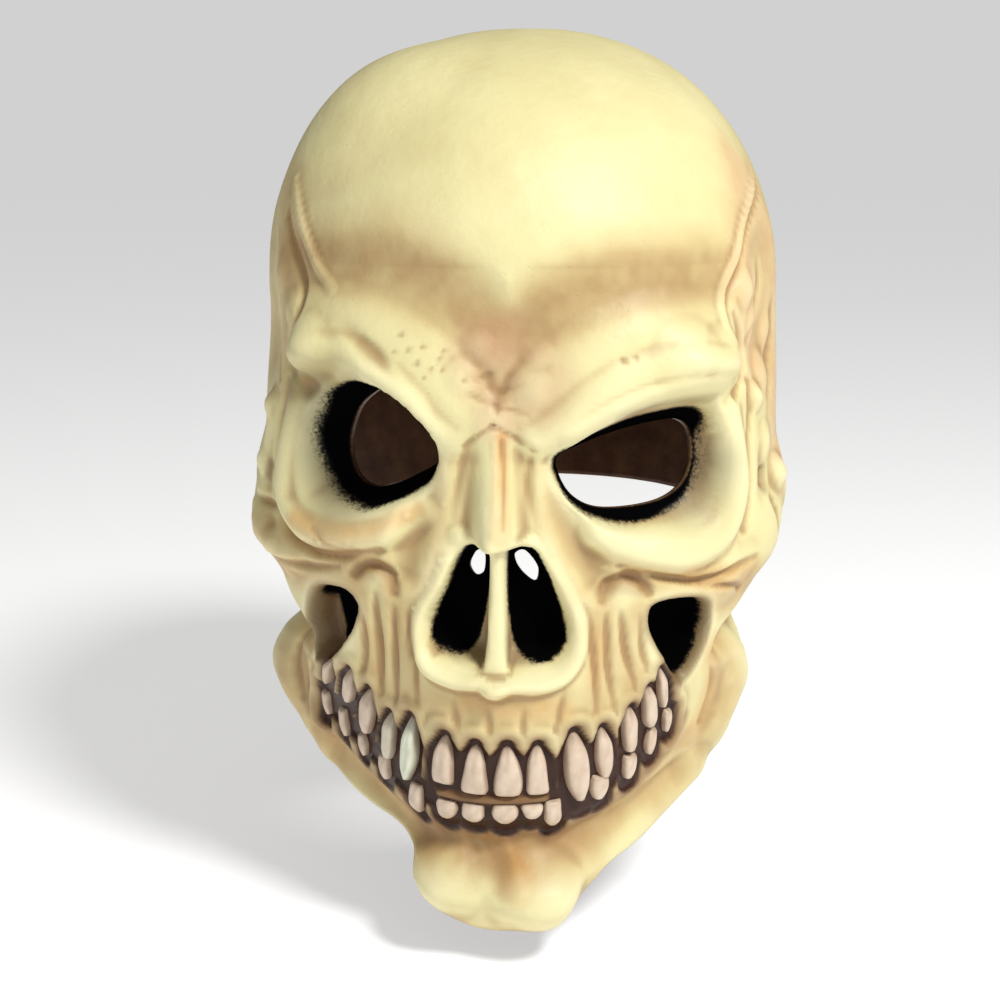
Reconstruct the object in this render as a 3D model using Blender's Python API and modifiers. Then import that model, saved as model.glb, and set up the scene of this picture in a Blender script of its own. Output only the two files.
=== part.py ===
# A one-piece moulded skull mask: a thin rubber shell over the whole head, open below,
# with two eye holes and two small nostril slits.
# Metres in the scene; the tables below are in millimetres and degrees.
# Face towards -Y, +X on the viewer's right, +Z up. The origin is the top of the hollow.

import math

import bmesh
import bpy
import numpy as np

# ------------------------------------------------------------------ named sizes
MM = 0.001
WALL = 2.4  # rubber wall
TOP_OF_HOLLOW = 114.7  # height of the top of the hollow over the nasion, which is z = 0 in the tables
CHART = 1.66  # mm of surface for each degree, on the unrolled face
HEAD_CENTRE = (0.0, 0.0, -30.0)

COLUMNS = 200  # points round the head before they are thinned out
ROWS_CROWN = 34
ROWS_FACE = 104
KEPT_TRIANGLES = 4150  # triangles kept in the outer face of the wall
SIDE_STEP = 2.6  # spacing of columns at the back against the face

# ------------------------------------------------------------------ head form
# Radii of the head without its relief, by degrees from the front; both sides are alike.
FORM_DEGREES = (0, 15, 30, 45, 60, 75, 90, 110, 135, 160, 180)
FORM = (
    # tilt of the section, height of its centre, then a radius for each of FORM_DEGREES
    (90, 25, 92, 92, 92, 92, 92, 92, 92, 92, 92, 92, 92),
    (72, 25, 93, 93, 93, 93, 93, 93, 93, 93, 94, 95, 95),
    (54, 25, 97, 97, 97, 96, 95, 94, 93, 94, 98, 101, 102),
    (36, 25, 103, 102, 101, 99, 95, 92, 91, 93, 101, 108, 110),
    (18, 25, 104, 103, 101, 98, 94, 90, 88, 91, 102, 112, 115),
    (4, 25, 101, 101, 100, 97, 92, 88, 86, 90, 102, 113, 117),
    (0, 5, 100, 101, 101, 98, 93, 89, 86, 89, 101, 112, 116),
    (0, -22, 100, 101, 102, 100, 95, 90, 86, 87, 97, 108, 111),
    (0, -48, 100, 100, 100, 98, 94, 90, 85, 84, 92, 101, 104),
    (0, -74, 100, 98, 95, 92, 87, 81, 76, 76, 84, 93, 96),
    (0, -98, 100, 96, 90, 86, 83, 80, 74, 73, 80, 88, 90),
    (0, -122, 98, 94, 86, 80, 78, 77, 72, 71, 78, 85, 87),
    (0, -144, 96, 91, 79, 71, 71, 72, 70, 70, 76, 83, 85),
    (0, -164, 93, 87, 73, 63, 63, 67, 70, 70, 76, 81, 83),
    (0, -184, 86, 80, 66, 56, 56, 60, 64, 66, 74, 79, 81),
)
# Height of the lower rim.
RIM = (
    # degrees, height
    (-180, -56), (-140, -56), (-110, -60), (-95, -68), (-84, -84), (-76, -104),
    (-66, -120), (-52, -127), (-44, -132), (-31, -138), (-21, -143), (-15, -151),
    (-10, -161), (0, -167), (10, -165), (16, -159), (21, -151), (28, -146.5),
    (37, -142), (49, -132), (57, -126), (66, -118), (76, -100), (84, -82),
    (95, -67), (110, -60), (140, -56), (180, -56),
)

# ------------------------------------------------------------------ relief
# Rounded swellings: degrees, height, radius, rise.
SWELLINGS = {
    "dome_left": ((-62, 60, 40, 1.5), (-50, 95, 45, 4.0), (-20, 104, 45, 1.5)),
    "dome_right": ((50, 80, 40, 1.5),),
    "brow_knob_left": ((-36, 18, 13, 3.5), (-34, 19, 12, 2.8), (-37.5, 8, 8, -2.0)),
    "brow_knob_right": ((33, 17, 14, 4.0), (41, 16, 12, 4.0), (34, 20, 9, 1.2)),
    "cheek_left": ((-72, -30, 20, 3.0), (-60, -44, 20, 5.0), (-50, -50, 13, 3.0), (-54, -42, 7, 1.5)),
    "cheek_right": ((72, -32, 20, 3.0), (60, -46, 20, 5.0), (48, -54, 14, 3.0)),
    "chin_left": ((-11.5, -151, 16, 5.5), (-8, -159, 14, 2.5), (0, -157, 15, 3.2)),
    "chin_right": ((8, -155, 17, 7.0), (10, -160, 13, 3.0), (13, -150, 9, 1.5)),
    "temple_left": ((-61, 45, 22, -2.5), (-61, 18, 22, -3.5)),
    "temple_right": ((62, 45, 22, -2.5), (62, 18, 22, -3.5)),
    "jaw_angle_left": ((-70, -98, 22, 10.0), (-60, -114, 18, 5.0)),
    "jaw_angle_right": ((66, -98, 16, 4.0), (60, -112, 14, 3.0)),
    "upper_jaw": ((-9, -80, 26, 2.5), (9, -80, 26, 2.5)),
}
# Ridges, and grooves where the rise is negative: degrees, height, radius, rise.
RIDGES = {
    "frown": ((-38, 45, 15, -1.0), (-20, 44, 17, -2.0), (-9, 38, 16, -2.5), (2, 29, 14, -3.0), (10, 35, 16, -2.5), (22, 42, 17, -2.0), (42, 42, 14, -1.0)),
    "brow_band_left": ((-38, 24, 16, 3.0), (-27, 22, 19, 4.5), (-15, 13, 18, 4.5), (-5, 0, 14, 3.0)),
    "brow_band_right": ((6, 0, 14, 3.0), (16, 13, 18, 4.5), (28, 21, 19, 5.0), (42, 22, 16, 3.5)),
    "brow_bar_left": ((-38, 15, 8, 2.0), (-32, 16, 9, 2.5), (-25, 16, 8.5, 3.2), (-19.5, 11.5, 8, 3.4), (-15, 5, 7.5, 3.2), (-12, -2, 7, 2.8), (-8, -8, 7, 1.5)),
    "brow_bar_right": ((7, -7, 7, 2.0), (12, -2, 8, 3.0), (17, 5, 9, 3.2), (23, 10, 10, 3.6), (31, 13, 10, 4.0), (38, 12.5, 9, 4.0), (45, 11, 8, 2.5)),
    "eye_side_left": ((-41, 5, 6, 1.0), (-43.2, -9, 6.5, 2.6), (-45.0, -22, 7, 3.2), (-44.5, -33, 7, 3.4), (-38.5, -40, 7, 3.4), (-30, -40.5, 7, 3.2), (-20, -37, 6.5, 2.6), (-13, -29.5, 6, 1.8)),
    "cheek_edge_left": ((-52, -2, 6, 1.5), (-55, -18, 6, 2.0), (-57, -34, 7, 2.2), (-53, -47, 7, 2.0), (-44, -53, 6, 1.4)),
    "eye_side_right": ((46, 0, 5.5, 1.8), (47, -13, 6.5, 2.8), (47.3, -27, 7, 3.4), (43.5, -40, 7.5, 3.8), (34.5, -45, 7.5, 3.8), (25.5, -42, 7, 3.2), (17.5, -36, 6.5, 2.2)),
    "under_cheek_left": ((-92, -58, 16, -3.0), (-80, -70, 15, -6.0), (-64, -75, 12, -9.0), (-52, -80, 10, -7.0)),
    "under_cheek_right": ((92, -58, 18, -5.0), (80, -72, 18, -9.0), (66, -75, 14, -10.0), (54, -80, 10, -6.0)),
    "nose_side_left": ((-12, -12, 6, -2.0), (-13, -24, 8, -3.0), (-15, -36, 8, -3.5), (-17, -48, 8, -3.0)),
    "nose_side_right": ((10, -14, 5, -2.0), (11, -26, 7, -3.0), (14, -38, 8, -3.0), (18, -50, 8, -3.0)),
    "nose_bone": ((0, 3, 7, 1.0), (0, -8, 8, 3.0), (0, -22, 9.5, 6.5), (0, -32, 10, 9.0), (0, -37.5, 9, 9.5)),
    "nose_rim": ((-14, -63, 4, 1.2), (-14.4, -71, 4, 2.2), (-12, -78, 4, 3.2), (-7, -81.5, 4, 3.6), (0, -84, 4.4, 4.4), (7, -82.5, 4, 3.6), (11.5, -80, 4, 3.4), (14.6, -73, 4, 2.6), (15.2, -64, 4, 1.2)),
    "flute_left": ((-24, -58, 5, 2.0), (-25, -72, 5, 2.5), (-24, -88, 5, 1.5)),
    "flute_right": ((25, -58, 5, 2.0), (24, -72, 5, 2.5), (21, -90, 5, 1.5)),
    "under_teeth": ((-46, -124, 10, -3.0), (-32, -132, 11, -4.0), (-16, -139, 12, -5.0), (0, -139, 12, -5.0), (16, -139, 12, -5.0), (30, -134, 11, -4.0), (44, -126, 10, -3.0)),
    "jaw_edge": ((-52, -126, 12, 3.0), (-34, -142, 12, 3.0), (-18, -150, 12, 2.0), (18, -150, 12, 2.0), (34, -144, 12, 3.0), (52, -128, 12, 3.0)),
    "chin_cleft": ((-4, -137, 6, -1.0), (-1, -143, 7, -1.8), (1, -149, 6, -1.0), (0, -158, 5, 0)),
}
# Hollows sunk to a floor: closed outlines of its edge and of its floor (degrees, height), and the floor's level.
EYE_LEFT = ((-28, 10), (-33.5, 6.5), (-38, 0.5), (-40.5, -12), (-41.5, -24), (-39.5, -33), (-33, -35.5), (-23, -32), (-14.5, -26.5), (-10.6, -17), (-10.2, -7), (-14.6, 3.5), (-20.5, 9.5))
EYE_LEFT_HOLE = ((-26, 5.5), (-30.5, 0), (-32.8, -8.5), (-32.5, -16.5), (-30, -23), (-25.5, -25.5), (-20.5, -23.5), (-15.5, -19.5), (-11.6, -15.5), (-10.9, -10), (-12.4, -4), (-15.6, 2.6), (-19, 6.8), (-22.5, 7.4))
EYE_RIGHT = ((10, -12), (14, -6.5), (19.5, -0.5), (25.5, 4), (32, 5.2), (39, 4.5), (43, 0.5), (44.5, -8), (44.8, -18), (44.5, -29), (41.5, -37), (34.5, -40), (25.5, -37.5), (18, -33), (12.8, -26), (9.8, -18))
EYE_RIGHT_HOLE = ((10.9, -13.5), (15.5, -9.5), (20.5, -6.5), (26, -4.2), (32, -2.8), (37.5, -2.8), (41.3, -6), (42.2, -12.5), (41.5, -19), (38.8, -25), (33.5, -29), (25.5, -30.5), (18.5, -29.8), (14, -25.8), (11.5, -19.5))
NOSE = ((0, -39), (-4.5, -37.5), (-7.8, -43.5), (-10, -52), (-12.9, -61), (-13.4, -69), (-11.6, -75.8), (-7, -79.2), (0, -81), (7, -79.6), (11.2, -77.5), (13.6, -71.5), (14.0, -63), (11.8, -53.5), (9.2, -45), (6.5, -38.5))
NOSE_FLOOR = ((0, -43), (-4.5, -43), (-6.8, -49), (-8.6, -57), (-10.6, -64), (-10, -70), (-6.5, -72), (0, -72), (6.5, -72.5), (10.5, -70), (11, -64), (9.4, -57), (7.8, -49), (5.5, -43))
JAW_GAP_LEFT = ((-40, -60), (-33, -57), (-28.5, -58.5), (-27.4, -63.5), (-29.5, -71), (-33.5, -78), (-38.0, -84.5), (-43, -88.5), (-47, -86), (-47, -74))
JAW_GAP_LEFT_FLOOR = ((-39, -65), (-33.5, -61.5), (-30.5, -63), (-30.6, -67), (-32.5, -73), (-36.5, -79), (-40, -82.5), (-43, -82), (-43, -74))
JAW_GAP_RIGHT = ((28.6, -60), (34, -58.5), (42, -61), (45, -69), (45.2, -78), (42.5, -87), (38.5, -90), (34.5, -83), (31.5, -76), (28.6, -68))
JAW_GAP_RIGHT_FLOOR = ((31.5, -65), (35, -63), (40, -65), (42.2, -71), (41.8, -78), (39.5, -84), (36.6, -80.5), (33.2, -73))
HOLLOWS = (
    # edge, floor, level of the floor over the head form
    (EYE_LEFT, EYE_LEFT_HOLE, -11.0),
    (EYE_RIGHT, EYE_RIGHT_HOLE, -11.0),
    (NOSE, NOSE_FLOOR, -12.0),
    (JAW_GAP_LEFT, JAW_GAP_LEFT_FLOOR, -10.0),
    (JAW_GAP_RIGHT, JAW_GAP_RIGHT_FLOOR, -11.0),
)
GUM = ((-34.5, -79), (-34, -88), (-29, -94), (-22.5, -99), (-15, -102), (-5, -104), (5, -104), (14, -102), (21, -98), (27, -92), (31, -84), (34, -77), (37, -84), (39, -96), (36, -108), (30, -116), (22, -124), (12, -131), (0, -132), (-12, -131), (-22, -126), (-30, -121), (-38, -115), (-46, -108), (-49, -100), (-44, -90))
GUM_DEPTH = 2.0
TOOTH_RISE = 3.6
# Teeth stand out of the gum: degrees and height of the root, of the tip, and half the width.
UPPER_TEETH = (
    (-38.5, -86, -42.0, -95, 2.0), (-33.5, -88, -37.0, -100, 2.8), (-28.0, -93, -31.3, -108, 3.4),
    (-22.6, -99, -24.6, -114, 2.8), (-17.0, -98, -19.0, -119, 3.2), (-9.6, -102, -10.7, -117, 3.9),
    (-3.7, -104, -4.3, -119, 4.2), (2.1, -104, 2.1, -119, 4.5), (7.7, -104, 8.0, -119, 3.7),
    (14.6, -101, 16.2, -123, 4.4), (20.6, -101, 21.8, -117, 3.0), (27.0, -96, 27.8, -110, 2.9),
    (31.2, -90, 32.8, -103, 2.9), (33.5, -84, 35.8, -97, 1.9),
)
LOWER_TEETH = (
    (-48.0, -102, -48.6, -110, 2.2), (-40.3, -105, -40.8, -114, 2.6), (-33.4, -110, -33.2, -118, 2.1),
    (-26.0, -115, -25.7, -122, 2.7), (-17.0, -122, -17.6, -131, 2.8), (-10.0, -124, -10.3, -129, 3.6),
    (-4.4, -124, -4.4, -129, 3.8), (1.6, -123, 1.6, -129, 4.0), (6.7, -123, 6.8, -127, 3.4),
    (11.0, -123, 11.2, -131, 2.9), (20.9, -117, 20.6, -124, 3.4), (28.2, -112, 27.9, -120, 2.9),
    (33.8, -105, 33.5, -113, 2.2), (37.7, -100, 37.9, -107, 1.8),
)

NOSTRIL_LEFT = ((-6.0, -48), (-4.4, -43.2), (-2.8, -43.6), (-3.0, -49.5), (-4.8, -51.4))
NOSTRIL_RIGHT = ((3.2, -43.8), (5.2, -42.8), (7.8, -48.2), (7.6, -53), (5.4, -51), (3.6, -47.4))
SEPTUM = (
    # height, half width, front level, back level
    (-41, 2.3, 4.0, -14.0),
    (-52, 2.2, 1.8, -14.0),
    (-66, 2.6, 1.0, -14.0),
    (-80, 3.2, 1.5, -14.0),
)

SEPTUM_SECTIONS = 9
HOLE_OUTSIDE = 16.0  # how far a cutter stands out of the head form, and in
HOLE_INSIDE = 26.0
BONE = (0.80, 0.72, 0.47)


# ------------------------------------------------------------------ curves
def bends(xs):
    """Matrix that turns values at xs into the second derivatives of the natural cubic spline through them."""
    n, gaps = len(xs), np.diff(xs)
    left, right = np.zeros((n, n)), np.zeros((n, n))
    left[0, 0] = left[-1, -1] = 1.0
    for i in range(1, n - 1):
        a, b = gaps[i - 1], gaps[i]
        left[i, i - 1 : i + 2] = a, 2 * (a + b), b
        right[i, i - 1 : i + 2] = 6 / a, -6 / a - 6 / b, 6 / b
    return np.linalg.solve(left, right)


def spline_rows(xs, values, where):
    """Natural cubic spline: for each number in where, the value in its own row of values."""
    second = values @ bends(xs).T
    k = np.clip(np.searchsorted(xs, where) - 1, 0, len(xs) - 2)
    gap, d, i = np.diff(xs)[k], where - xs[k], np.arange(len(k))
    y0, y1, m0, m1 = values[i, k], values[i, k + 1], second[i, k], second[i, k + 1]
    slope = (y1 - y0) / gap - gap * (2 * m0 + m1) / 6
    return y0 + d * slope + d**2 * m0 / 2 + d**3 * (m1 - m0) / (6 * gap)


def spline(xs, values, where):
    """The same for columns of values that all points share."""
    xs, values, where = (np.asarray(a, float) for a in (xs, values, where))
    columns = values.reshape(len(xs), -1).T
    found = [spline_rows(xs, np.repeat(c[None, :], where.size, 0), where.ravel()) for c in columns]
    return np.stack(found, -1).reshape(where.shape + (len(columns),))


def ease(x):
    x = np.clip(x, 0.0, 1.0)
    return x * x * (3 - 2 * x)


def rounded(rows, steps, closed=False):
    """A smooth curve through the rows of a table."""
    p = np.array(rows, float)
    if closed:
        p = np.concatenate([p[-1:], p, p[:2]])
    else:
        p = np.concatenate([2 * p[:1] - p[1:2], p, 2 * p[-1:] - p[-2:-1]])
    found = []
    for a, b, c, d in zip(p, p[1:], p[2:], p[3:]):
        for t in np.arange(steps) / steps:
            found.append(0.5 * (2 * b + (c - a) * t + (2 * a - 5 * b + 4 * c - d) * t**2 + (3 * b - a - 3 * c + d) * t**3))
    if not closed:
        found.append(p[-2])
    return np.array(found)


# ------------------------------------------------------------------ head form
def form_point(section, degrees):
    """Point of the head form at a row number of FORM, with parts of a row allowed, and an angle from the front."""
    table = spline(np.arange(len(FORM)), FORM, section)
    tilt, centre, radii = np.radians(table[..., 0]), table[..., 1], table[..., 2:]
    half = np.array(FORM_DEGREES, float)
    angles = np.concatenate([-half[:0:-1], half])
    radii = np.concatenate([radii[..., :0:-1], radii], -1)
    angles = np.concatenate([angles[-4:-1] - 360, angles, angles[1:4] + 360])
    radii = np.concatenate([radii[..., -4:-1], radii, radii[..., 1:4]], -1)
    degrees = np.broadcast_to(degrees, section.shape)
    radius = spline_rows(angles, radii.reshape(-1, len(angles)), degrees.ravel()).reshape(section.shape)
    a, flat = np.radians(degrees), radius * np.cos(tilt)
    return np.stack([flat * np.sin(a), -flat * np.cos(a), centre + radius * np.sin(tilt)], -1)


def section_at(height, degrees):
    low, high = np.zeros(height.shape), np.full(height.shape, len(FORM) - 1.0)
    for _ in range(24):
        middle = (low + high) / 2
        above = form_point(middle, degrees)[..., 2] > height
        low, high = np.where(above, middle, low), np.where(above, high, middle)
    return (low + high) / 2


def on_form(degrees, height):
    degrees, height = np.asarray(degrees, float), np.asarray(height, float)
    return form_point(section_at(height, degrees), degrees)


def outward(section, degrees):
    across = form_point(section, degrees + 0.4) - form_point(section, degrees - 0.4)
    down = form_point(section + 0.02, degrees) - form_point(section - 0.02, degrees)
    normal = np.cross(down, across)
    normal /= np.linalg.norm(normal, axis=-1, keepdims=True)
    away = (normal * (form_point(section, degrees) - HEAD_CENTRE)).sum(-1, keepdims=True)
    return np.where(away > 0, normal, -normal)


def raised(degrees, height, level):
    """Points at a level over the head form."""
    degrees, height = np.asarray(degrees, float), np.asarray(height, float)
    section = section_at(height, degrees)
    return form_point(section, degrees) + outward(section, degrees) * np.asarray(level, float)[..., None]


# ------------------------------------------------------------------ relief
def add_swelling(points, level, degrees, height, radius, rise):
    q = np.linalg.norm(points - on_form(degrees, height), axis=1) / radius
    level += rise * np.where(q < 1, (1 - q * q) ** 2, 0.0)


def add_ridge(points, level, rows, top=None):
    """A ridge along the rows; with top given, a flat-topped one that is the higher of itself and what is there."""
    rows = rounded(rows, 5)
    path = on_form(rows[:, 0], rows[:, 1])
    nearest = np.full(len(points), 1e9)
    radius, rise = np.ones(len(points)), np.zeros(len(points))
    for i in range(len(path) - 1):
        step = path[i + 1] - path[i]
        share = np.clip((points - path[i]) @ step / (step @ step), 0, 1)
        gap = np.linalg.norm(points - path[i] - share[:, None] * step, axis=1)
        closer = gap < nearest
        nearest[closer] = gap[closer]
        radius[closer] = (rows[i, 2] + share * (rows[i + 1, 2] - rows[i, 2]))[closer]
        rise[closer] = (rows[i, 3] + share * (rows[i + 1, 3] - rows[i, 3]))[closer]
    q = nearest / radius
    if top is None:
        level += rise * np.where(q < 1, (1 - q * q) ** 2, 0.0)
    else:
        level[:] = np.where(q < 1, np.maximum(level, top + rise * np.sqrt(np.clip(1 - q * q, 0, 1))), level)


def inside(degrees, height, outline):
    """Distance in from a closed outline on the unrolled face, negative outside."""
    ring = rounded(outline, 4, closed=True) * (CHART, 1.0)
    x, z = degrees * CHART, height
    nearest, odd = np.full(x.shape, 1e9), np.zeros(x.shape, bool)
    for (ax, az), (bx, bz) in zip(ring, np.roll(ring, -1, 0)):
        dx, dz = bx - ax, bz - az
        share = np.clip(((x - ax) * dx + (z - az) * dz) / (dx * dx + dz * dz + 1e-12), 0, 1)
        nearest = np.minimum(nearest, np.hypot(x - ax - share * dx, z - az - share * dz))
        odd ^= ((az > z) != (bz > z)) & (x < dx * (z - az) / (dz + 1e-12) + ax)
    return np.where(odd, nearest, -nearest)


def relief(points, degrees, height):
    """Level of the mask's face over the head form."""
    level = np.zeros(len(points))
    for rows in SWELLINGS.values():
        for row in rows:
            add_swelling(points, level, *row)
    for rows in RIDGES.values():
        add_ridge(points, level, rows)
    for edge, floor, sunk in HOLLOWS:
        a = np.clip(inside(degrees, height, edge), 0, None)
        b = np.clip(-inside(degrees, height, floor), 0, None)
        share = ease(1.15 * a / (a + b + 1e-9))
        level = level * (1 - share) + sunk * share
    level -= GUM_DEPTH * ease(inside(degrees, height, GUM) / 2.5)
    gum = level.copy()
    for root_at, root, tip_at, tip, half in UPPER_TEETH + LOWER_TEETH:
        add_ridge(points, level, ((root_at, root, half, TOOTH_RISE), (tip_at, tip, half, TOOTH_RISE)), top=gum)
    return level


# ------------------------------------------------------------------ shell
def column_angles():
    """Angles round the head, closest together on the face."""
    step, found = 1.0, [0.0]
    while found[-1] < 180:
        found.append(found[-1] + step + (SIDE_STEP - 1) * step * ease((found[-1] - 55) / 50))
    half = np.interp(np.linspace(0, len(found) - 1, COLUMNS // 2 + 1), np.arange(len(found)), found)
    half *= 180 / half[-1]
    return np.concatenate([-half[:0:-1], half[:-1]])


def outer_points():
    degrees = column_angles()
    rim = np.array(RIM, float)
    at = np.concatenate([rim[-3:-1, 0] - 360, rim[:, 0], rim[1:3, 0] + 360])
    to = np.concatenate([rim[-3:-1, 1], rim[:, 1], rim[1:3, 1]])
    lowest = section_at(spline(at, to, degrees)[:, 0], degrees)
    brow = section_at(np.full(len(degrees), 45.0), degrees)
    crown_share = np.linspace(0, 1, ROWS_CROWN, endpoint=False)[1:, None]
    face_share = np.linspace(0, 1, ROWS_FACE)[:, None]
    section = np.concatenate([crown_share * brow, brow + face_share * (lowest - brow)])
    degrees = np.broadcast_to(degrees, section.shape)
    base = form_point(section, degrees)
    level = relief(base.reshape(-1, 3), degrees.ravel(), base[..., 2].ravel()).reshape(section.shape)
    points = base + outward(section, degrees) * level[..., None]
    top = np.array([[0.0, 0.0, points[0, :, 2].mean() + 0.05]])
    return points, top


def lofted(name, rings, start=None, closed=True, ends=False):
    """A surface through rings of points, closed round each ring, with an optional point or faces at its ends."""
    bm = bmesh.new()
    rows = [[bm.verts.new(tuple((p - (0, 0, TOP_OF_HOLLOW)) * MM)) for p in ring] for ring in rings]
    count = len(rows[0])
    for above, below in zip(rows, rows[1:]):
        for j in range(count if closed else count - 1):
            k = (j + 1) % count
            bm.faces.new((above[j], below[j], below[k], above[k]))
    if start is not None:
        tip = bm.verts.new(tuple((start - (0, 0, TOP_OF_HOLLOW)) * MM))
        for j in range(count):
            bm.faces.new((tip, rows[0][j], rows[0][(j + 1) % count]))
    if ends:
        bm.faces.new(rows[0])
        bm.faces.new(rows[-1][::-1])
    bmesh.ops.recalc_face_normals(bm, faces=bm.faces)
    mesh = bpy.data.meshes.new(name)
    bm.to_mesh(mesh)
    bm.free()
    return bpy.data.objects.new(name, mesh)


def hole_cutter(name, outline):
    ring = rounded(outline, 3, closed=True)
    centre = ring.mean(0)
    levels = np.linspace(-HOLE_INSIDE, HOLE_OUTSIDE, 4)
    rings = []
    for level in levels:
        rings.append(raised(ring[:, 0], ring[:, 1], np.full(len(ring), level)))
    cutter = lofted(name, rings, ends=True)
    cutter["centre_degrees"] = float(centre[0])
    return cutter


def septum_bar():
    """The thin wall between the two halves of the nose."""
    table = np.array(SEPTUM, float)
    heights = np.linspace(table[0, 0], table[-1, 0], SEPTUM_SECTIONS)
    sizes = spline(-table[:, 0], table[:, 1:], -heights)
    rings = []
    for height, (half, front, back) in zip(heights, sizes):
        turn = half / CHART
        corners = ((-turn, back), (-turn, front - half), (-turn * 0.5, front), (turn * 0.5, front), (turn, front - half), (turn, back))
        rings.append(np.array([raised(a, height, level) for a, level in corners]))
    return lofted("septum_form", rings, ends=True)


def bounded(obj):
    """Faces outwards, checked by the sign of the volume."""
    bm = bmesh.new()
    bm.from_mesh(obj.data)
    if bm.calc_volume(signed=True) < 0:
        bmesh.ops.reverse_faces(bm, faces=bm.faces)
    bm.to_mesh(obj.data)
    bm.free()
    return obj


def rubber_material(name):
    material = bpy.data.materials.new(name)
    material.use_nodes = True
    shader = material.node_tree.nodes["Principled BSDF"]
    shader.inputs["Base Color"].default_value = BONE + (1.0,)
    shader.inputs["Roughness"].default_value = 0.55
    shader.inputs["Metallic"].default_value = 0.0
    return material


def collection(name):
    made = bpy.data.collections.new(name)
    bpy.context.scene.collection.children.link(made)
    return made


def main():
    for obj in list(bpy.data.objects):
        bpy.data.objects.remove(obj, do_unlink=True)
    parts, cutters = collection("skull_mask"), collection("cutters")

    points, top = outer_points()
    shell = lofted("mask_shell", points, start=top[0])
    bm = bmesh.new()
    bm.from_mesh(shell.data)
    upmost = max(bm.faces, key=lambda f: f.calc_center_median().z)
    if upmost.normal.z < 0:
        bmesh.ops.reverse_faces(bm, faces=bm.faces)
    bm.to_mesh(shell.data)
    bm.free()
    parts.objects.link(shell)
    shell.data.materials.append(rubber_material("bone_rubber"))
    for polygon in shell.data.polygons:
        polygon.use_smooth = True

    thin = shell.modifiers.new("thin_out", "DECIMATE")
    thin.ratio = KEPT_TRIANGLES / (2 * len(shell.data.polygons) - COLUMNS)
    wall = shell.modifiers.new("wall", "SOLIDIFY")
    wall.thickness = WALL * MM
    wall.offset = -1.0

    for name, outline in (
        ("cut_eye_left", EYE_LEFT_HOLE),
        ("cut_eye_right", EYE_RIGHT_HOLE),
        ("cut_nostril_left", NOSTRIL_LEFT),
        ("cut_nostril_right", NOSTRIL_RIGHT),
    ):
        cutter = bounded(hole_cutter(name, outline))
        cutter.hide_render, cutter.display_type = True, "WIRE"
        cutters.objects.link(cutter)
        cut = shell.modifiers.new(name, "BOOLEAN")
        cut.operation, cut.object, cut.solver = "DIFFERENCE", cutter, "EXACT"

    bar = bounded(septum_bar())
    bar.hide_render, bar.display_type = True, "WIRE"
    cutters.objects.link(bar)
    join = shell.modifiers.new("septum", "BOOLEAN")
    join.operation, join.object, join.solver = "UNION", bar, "EXACT"


main()
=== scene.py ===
import math

import bmesh
import bpy
import numpy as np
from mathutils import Matrix, Vector, kdtree


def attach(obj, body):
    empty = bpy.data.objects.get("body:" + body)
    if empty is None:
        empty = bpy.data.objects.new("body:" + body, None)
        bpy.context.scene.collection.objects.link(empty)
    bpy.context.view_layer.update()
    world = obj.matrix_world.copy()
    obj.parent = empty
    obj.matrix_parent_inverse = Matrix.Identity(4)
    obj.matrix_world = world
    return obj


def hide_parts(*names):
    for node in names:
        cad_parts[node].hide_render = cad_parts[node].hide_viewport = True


# ==== geometry
MM = 0.001
WALL = 2.4
TOP_OF_HOLLOW = 114.7
CHART = 1.66
HEAD_CENTRE = (0.0, 0.0, -30.0)

FORM_DEGREES = (0, 15, 30, 45, 60, 75, 90, 110, 135, 160, 180)
FORM = (
    # tilt of the section, height of its centre, then a radius for each of FORM_DEGREES
    (90, 25, 92, 92, 92, 92, 92, 92, 92, 92, 92, 92, 92),
    (72, 25, 93, 93, 93, 93, 93, 93, 93, 93, 94, 95, 95),
    (54, 25, 97, 97, 97, 96, 95, 94, 93, 94, 98, 101, 102),
    (36, 25, 103, 102, 101, 99, 95, 92, 91, 93, 101, 108, 110),
    (18, 25, 104, 103, 101, 98, 94, 90, 88, 91, 102, 112, 115),
    (4, 25, 101, 101, 100, 97, 92, 88, 86, 90, 102, 113, 117),
    (0, 5, 100, 101, 101, 98, 93, 89, 86, 89, 101, 112, 116),
    (0, -22, 100, 101, 102, 100, 95, 90, 86, 87, 97, 108, 111),
    (0, -48, 100, 100, 100, 98, 94, 90, 85, 84, 92, 101, 104),
    (0, -74, 100, 98, 95, 92, 87, 81, 76, 76, 84, 93, 96),
    (0, -98, 100, 96, 90, 86, 83, 80, 74, 73, 80, 88, 90),
    (0, -122, 98, 94, 86, 80, 78, 77, 72, 71, 78, 85, 87),
    (0, -144, 96, 91, 79, 71, 71, 72, 70, 70, 76, 83, 85),
    (0, -164, 93, 87, 73, 63, 63, 67, 70, 70, 76, 81, 83),
    (0, -184, 86, 80, 66, 56, 56, 60, 64, 66, 74, 79, 81),
)
# Height of the lower rim.
RIM = (
    # degrees, height
    (-180, -56), (-140, -56), (-110, -60), (-95, -68), (-84, -84), (-76, -104),
    (-66, -120), (-52, -127), (-44, -132), (-31, -138), (-21, -143), (-15, -151),
    (-10, -161), (0, -167), (10, -165), (16, -159), (21, -151), (28, -146.5),
    (37, -142), (49, -132), (57, -126), (66, -118), (76, -100), (84, -82),
    (95, -67), (110, -60), (140, -56), (180, -56),
)

# ------------------------------------------------------------------ curves
BENDS = {}


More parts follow.
